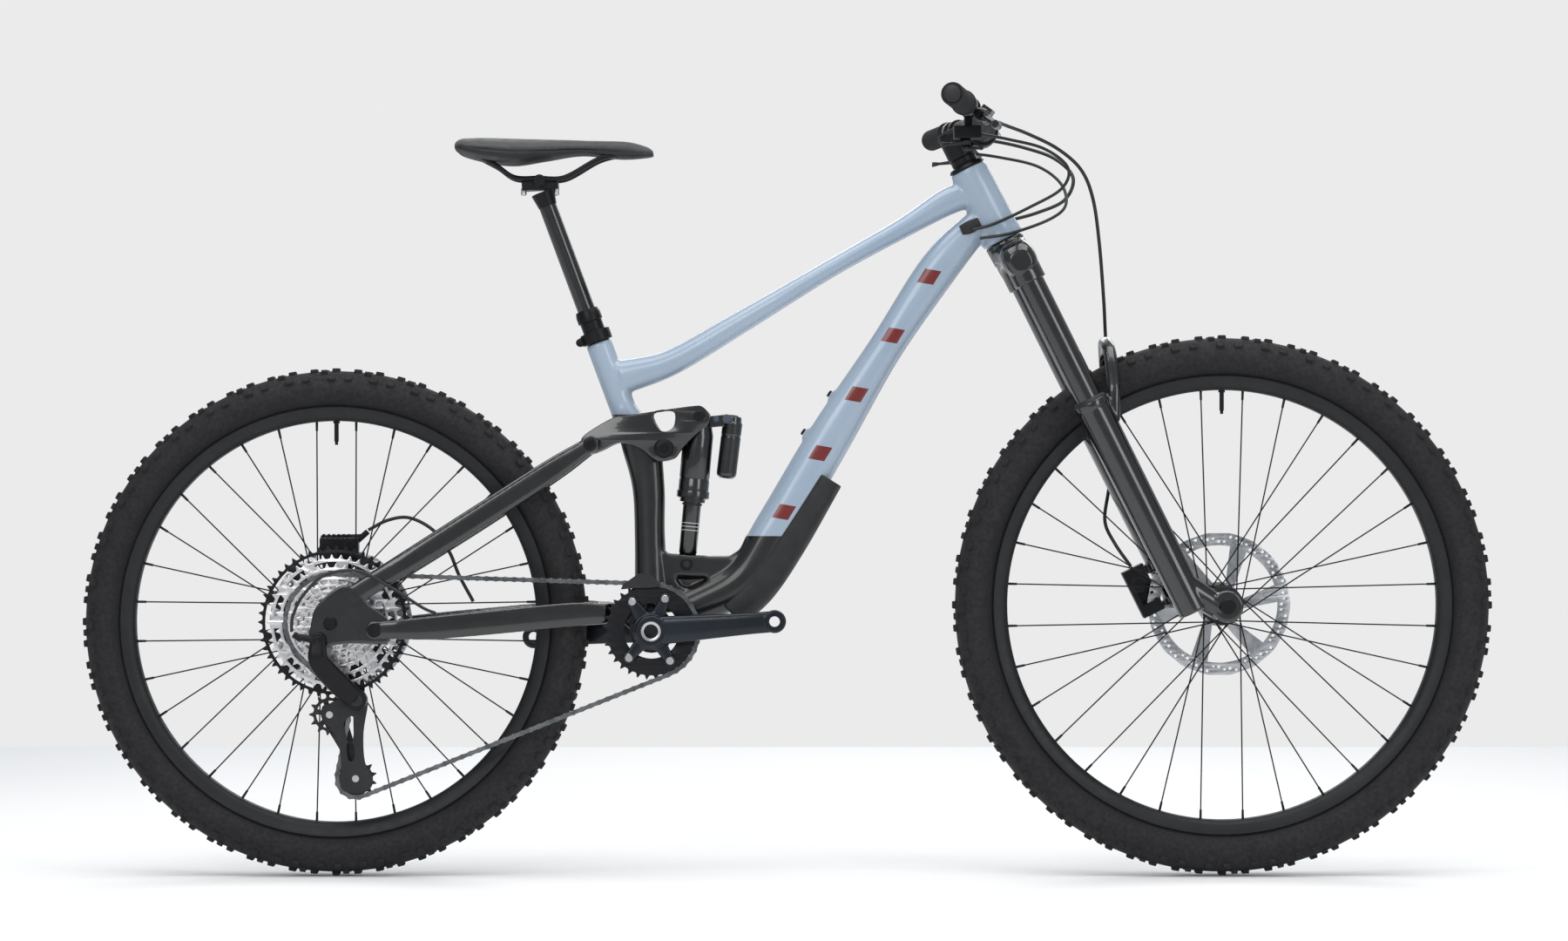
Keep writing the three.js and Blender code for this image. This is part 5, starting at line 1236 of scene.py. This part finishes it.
# ---- saddle, rails and post ----
rail_side = [(-436, 38, 1001), (-404, 32, 984), (-378, 23, 967), (-344, 22, 966), (-308, 22, 967),
             (-262, 20, 992), (-228, 11, 1000)]
rail_points = [vec(x, -y, z) for x, y, z in rail_side] + [vec(-218, 0, 1001)]
rail_points += [vec(x, y, z) for x, y, z in reversed(rail_side)]
show("rails", pipe(rail_points, 3.4, 20, 8), "seat", ALLOY, "saddle_rails")
post_fore = unit(vec(0.998, 0, 0.06))
show("post_shaft", rod(seat(-22), seat(206), 12.4, 64), "seat", GLOSS, "dropper_stanchion")
show("post_head", merged(rod(seat(200.5), seat(222), 12.8, 48, 16.6),
                         box_of(vec(-343, 0, 957.4), post_fore, ACROSS, (25, 18, 7)),
                         cross((-343, 962), -27, 27, 9, 40)),
     "seat", ALLOY, fuse=0.9, relax=5, sharp=50,
     cutters=[pipe(rail_points, 4.0, 16, 6)])
for index, x in enumerate((-366, -321)):
    show(f"head_bolt_{index}", turned([(0, 0), (4, 0), (4, 9), (3, 10), (0, 10)],
                                      vec(x, 0, 953), (0, 0, -1), 20, False), "seat", STEEL)

shell_rows = [(-459, 1012, 1004, 40), (-450, 1013, 998, 60), (-420, 1010, 990, 68.5),
              (-380, 1008, 985, 63.5), (-335, 1008, 991, 43.5), (-285, 1008, 998, 27),
              (-230, 1007, 993, 19), (-197, 1003, 995, 15.5), (-186, 1001, 997, 9)]
pad_rows = [(-460.4, 1016.2, 1007, 40), (-452, 1020.8, 1002, 60), (-436, 1021.5, 997, 66.5),
            (-420, 1021.4, 995, 69), (-380, 1020.2, 992, 64), (-335, 1019.8, 996, 44),
            (-285, 1019.8, 1001, 27.4), (-230, 1019, 998, 19.4), (-198, 1012, 997, 16),
            (-185.4, 1005.4, 998, 9)]


def saddle_skin(rows, sides, squareness, crown=0.0):
    """Sections whose top falls away to the sides, with a shallow channel down the middle."""
    rings = []
    for x, top, foot, wide in smooth_path(rows, 7):
        ring = oval(vec(x, 0, (top + foot) / 2), vec(0, wide, 0), vec(0, 0, (top - foot) / 2),
                    sides, squareness)
        share = np.clip(np.abs(ring[:, 1]) / max(wide, 1), 0, 1)
        upper = ring[:, 2] > (top + foot) / 2
        ring[:, 2] -= np.where(upper, crown * share ** 2.2, 0)
        if crown:
            fade = max(0, min(1, (-215 - x) / 60)) * max(0, min(1, (x + 452) / 30))
            ring[:, 2] -= np.where(upper, 3.4 * fade * np.exp(-(ring[:, 1] / 7.5) ** 2), 0)
        rings.append(ring)
    return skin(rings)


rail_groove = pipe(rail_points, 4.1, 14, 6)
show("saddle_shell", saddle_skin(shell_rows, 56, 0.8), "seat", MATTE,
     cutters=[rail_groove])
pad = show("saddle_pad", saddle_skin(pad_rows, 72, 0.78, 4.5), "seat", COVER, "saddle",
           ride=False, cutters=[rail_groove])


PAD_VOXEL, PAD_HELD_BELOW, PAD_TOP_LIMIT, CLOTH_FRAMES = 0.0034, 1.0045, 1.0218, 12


def puff(piece, pressure, cap):
    """Fills the padding with cloth pressure, and keeps each point within a small distance."""
    modify(piece, "REMESH", mode="VOXEL", voxel_size=PAD_VOXEL)
    rest = np.empty(len(piece.data.vertices) * 3)
    piece.data.vertices.foreach_get("co", rest)
    rest = rest.reshape(-1, 3)
    held = piece.vertex_groups.new(name="base")
    held.add([i for i, p in enumerate(rest) if p[2] < PAD_HELD_BELOW], 1.0, "REPLACE")
    cloth = piece.modifiers.new("cloth", "CLOTH")
    cloth.settings.use_pressure = True
    cloth.settings.uniform_pressure_force = pressure
    cloth.settings.vertex_group_mass = "base"
    cloth.settings.effector_weights.gravity = 0
    cloth.settings.tension_stiffness = 30
    cloth.point_cache.frame_end = CLOTH_FRAMES
    for step in range(1, CLOTH_FRAMES + 1):
        scene.frame_set(step)
    graph = bpy.context.evaluated_depsgraph_get()
    after = np.empty(len(rest) * 3)
    piece.evaluated_get(graph).data.vertices.foreach_get("co", after)
    moved = after.reshape(-1, 3) - rest
    far = np.linalg.norm(moved, axis=1, keepdims=True)
    moved *= np.minimum(1, cap / np.maximum(far, 1e-9))
    placed = rest + moved
    placed[:, 2] = np.minimum(placed[:, 2], PAD_TOP_LIMIT)
    piece.modifiers.clear()
    piece.data.vertices.foreach_set("co", placed.ravel())
    scene.frame_set(1)
    modify(piece, "SMOOTH", False, iterations=2)
    modify(piece, "SUBSURF", levels=1, render_levels=1)
    piece.data.shade_smooth()
    piece.data.materials.clear()
    piece.data.materials.append(COVER)


PAD_PRESSURE, PAD_CAP = 1.2, 0.0012
puff(pad, PAD_PRESSURE, PAD_CAP)
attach(pad, "seat")
seam = []
for hand in HANDS:
    seam.append(pipe([vec(x, hand * (w + 0.4) * 0.985, z) for x, w, z in (
        (-455, 47, 1008), (-440, 63, 1007), (-420, 67.6, 1006), (-380, 62.6, 1004), (-335, 43.4, 1005),
        (-285, 27.2, 1008), (-230, 19, 1006.5), (-200, 14.6, 1003.4))], 0.7, 8, 6))
show("saddle_seam", merged(*seam), "seat", COVER)

# ---- hoses and housings ----
front_hose = [(285, -174, 1030), (296, -150, 1028), (330, -100, 1020), (372, -52, 1004),
              (406, -20, 978), (425, 12, 940), (436, 40, 880), (444, 62, 800), (449, 82, 735),
              (459, 97, 640), (462, 96, 580), (452, 84, 530), (446, 66, 490), (458, 48, 460),
              (480.2, 42, 427.4)]
rear_hose = [(285, 174, 1030), (296, 150, 1030), (335, 110, 1018), (375, 72, 1000), (400, 50, 972),
             (388, 42, 940), (350, 40, 922), (310, 37, 911), (291, 33, 907)]
shift_front = [(262, -150, 1016), (300, -118, 1012), (352, -78, 1002), (386, -52, 978),
               (378, -42, 950), (335, -38, 925), (285, -33, 902), (256, -28.5, 894)]
dropper_front = [(258, 158, 1014), (300, 128, 1006), (352, 84, 990), (382, 34, 962), (386, -8, 930),
                 (362, -42, 908), (310, -43, 889), (266, -31, 882)]
rear_stay_hose = [(-588, 62, 478), (-560, 64, 492), (-530, 64, 495), (-497, 58, 478),
                  (-474, 54, 448), (-460, 52, 415), (-440, 52, 378)]
rear_shift = [(-678, -90, 341), (-676, -91, 362), (-664, -90, 388), (-640, -88, 414),
              (-612, -88, 424), (-580, -88, 422), (-540, -86, 400), (-500, -80, 374),
              (-482, -76, 366)]
for name, points, radius, node, pair, start, end in (
        ("hose_front", front_hose, 2.5, "front_brake_hose", ("steering", "fork_slider"),
         (0.44, 0, 0.93), (0.452, 0, 0.60)),
        ("hose_rear", rear_hose, 2.5, "rear_brake_hose", ("steering", "frame"),
         (0.36, 0.06, 0.985), (0.295, 0.034, 0.909)),
        ("housing_gear", shift_front, 2.2, "shift_housing", ("steering", "frame"),
         (0.36, -0.07, 0.985), (0.262, -0.029, 0.897)),
        ("housing_post", dropper_front, 2.2, "dropper_housing", ("steering", "frame"),
         (0.36, 0.06, 0.975), (0.27, -0.031, 0.884)),
        ("hose_stay", rear_stay_hose, 2.5, "rear_brake_hose_rear", ("chainstay", "seatstay"),
         (-0.442, 0, 0.38), (-0.55, 0, 0.49)),
        ("housing_stay", rear_shift, 2.2, "shift_housing_rear", ("chainstay", "seatstay"),
         (-0.484, 0, 0.367), (-0.60, 0, 0.42))):
    piece = show(name, pipe([vec(*p) for p in points], radius * 0.99, 18, 10), None, CORD, node, ride=False)
    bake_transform(piece)


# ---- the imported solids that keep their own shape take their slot's finish ----
node_slot = {part["node"]: part["material_slot"] for part in frame["record"]["subparts"]}
for name, holder in frame["nodes"].items():
    holder.data.materials.clear()
    holder.data.materials.append(FINISHES.get(node_slot.get(name), ALLOY))
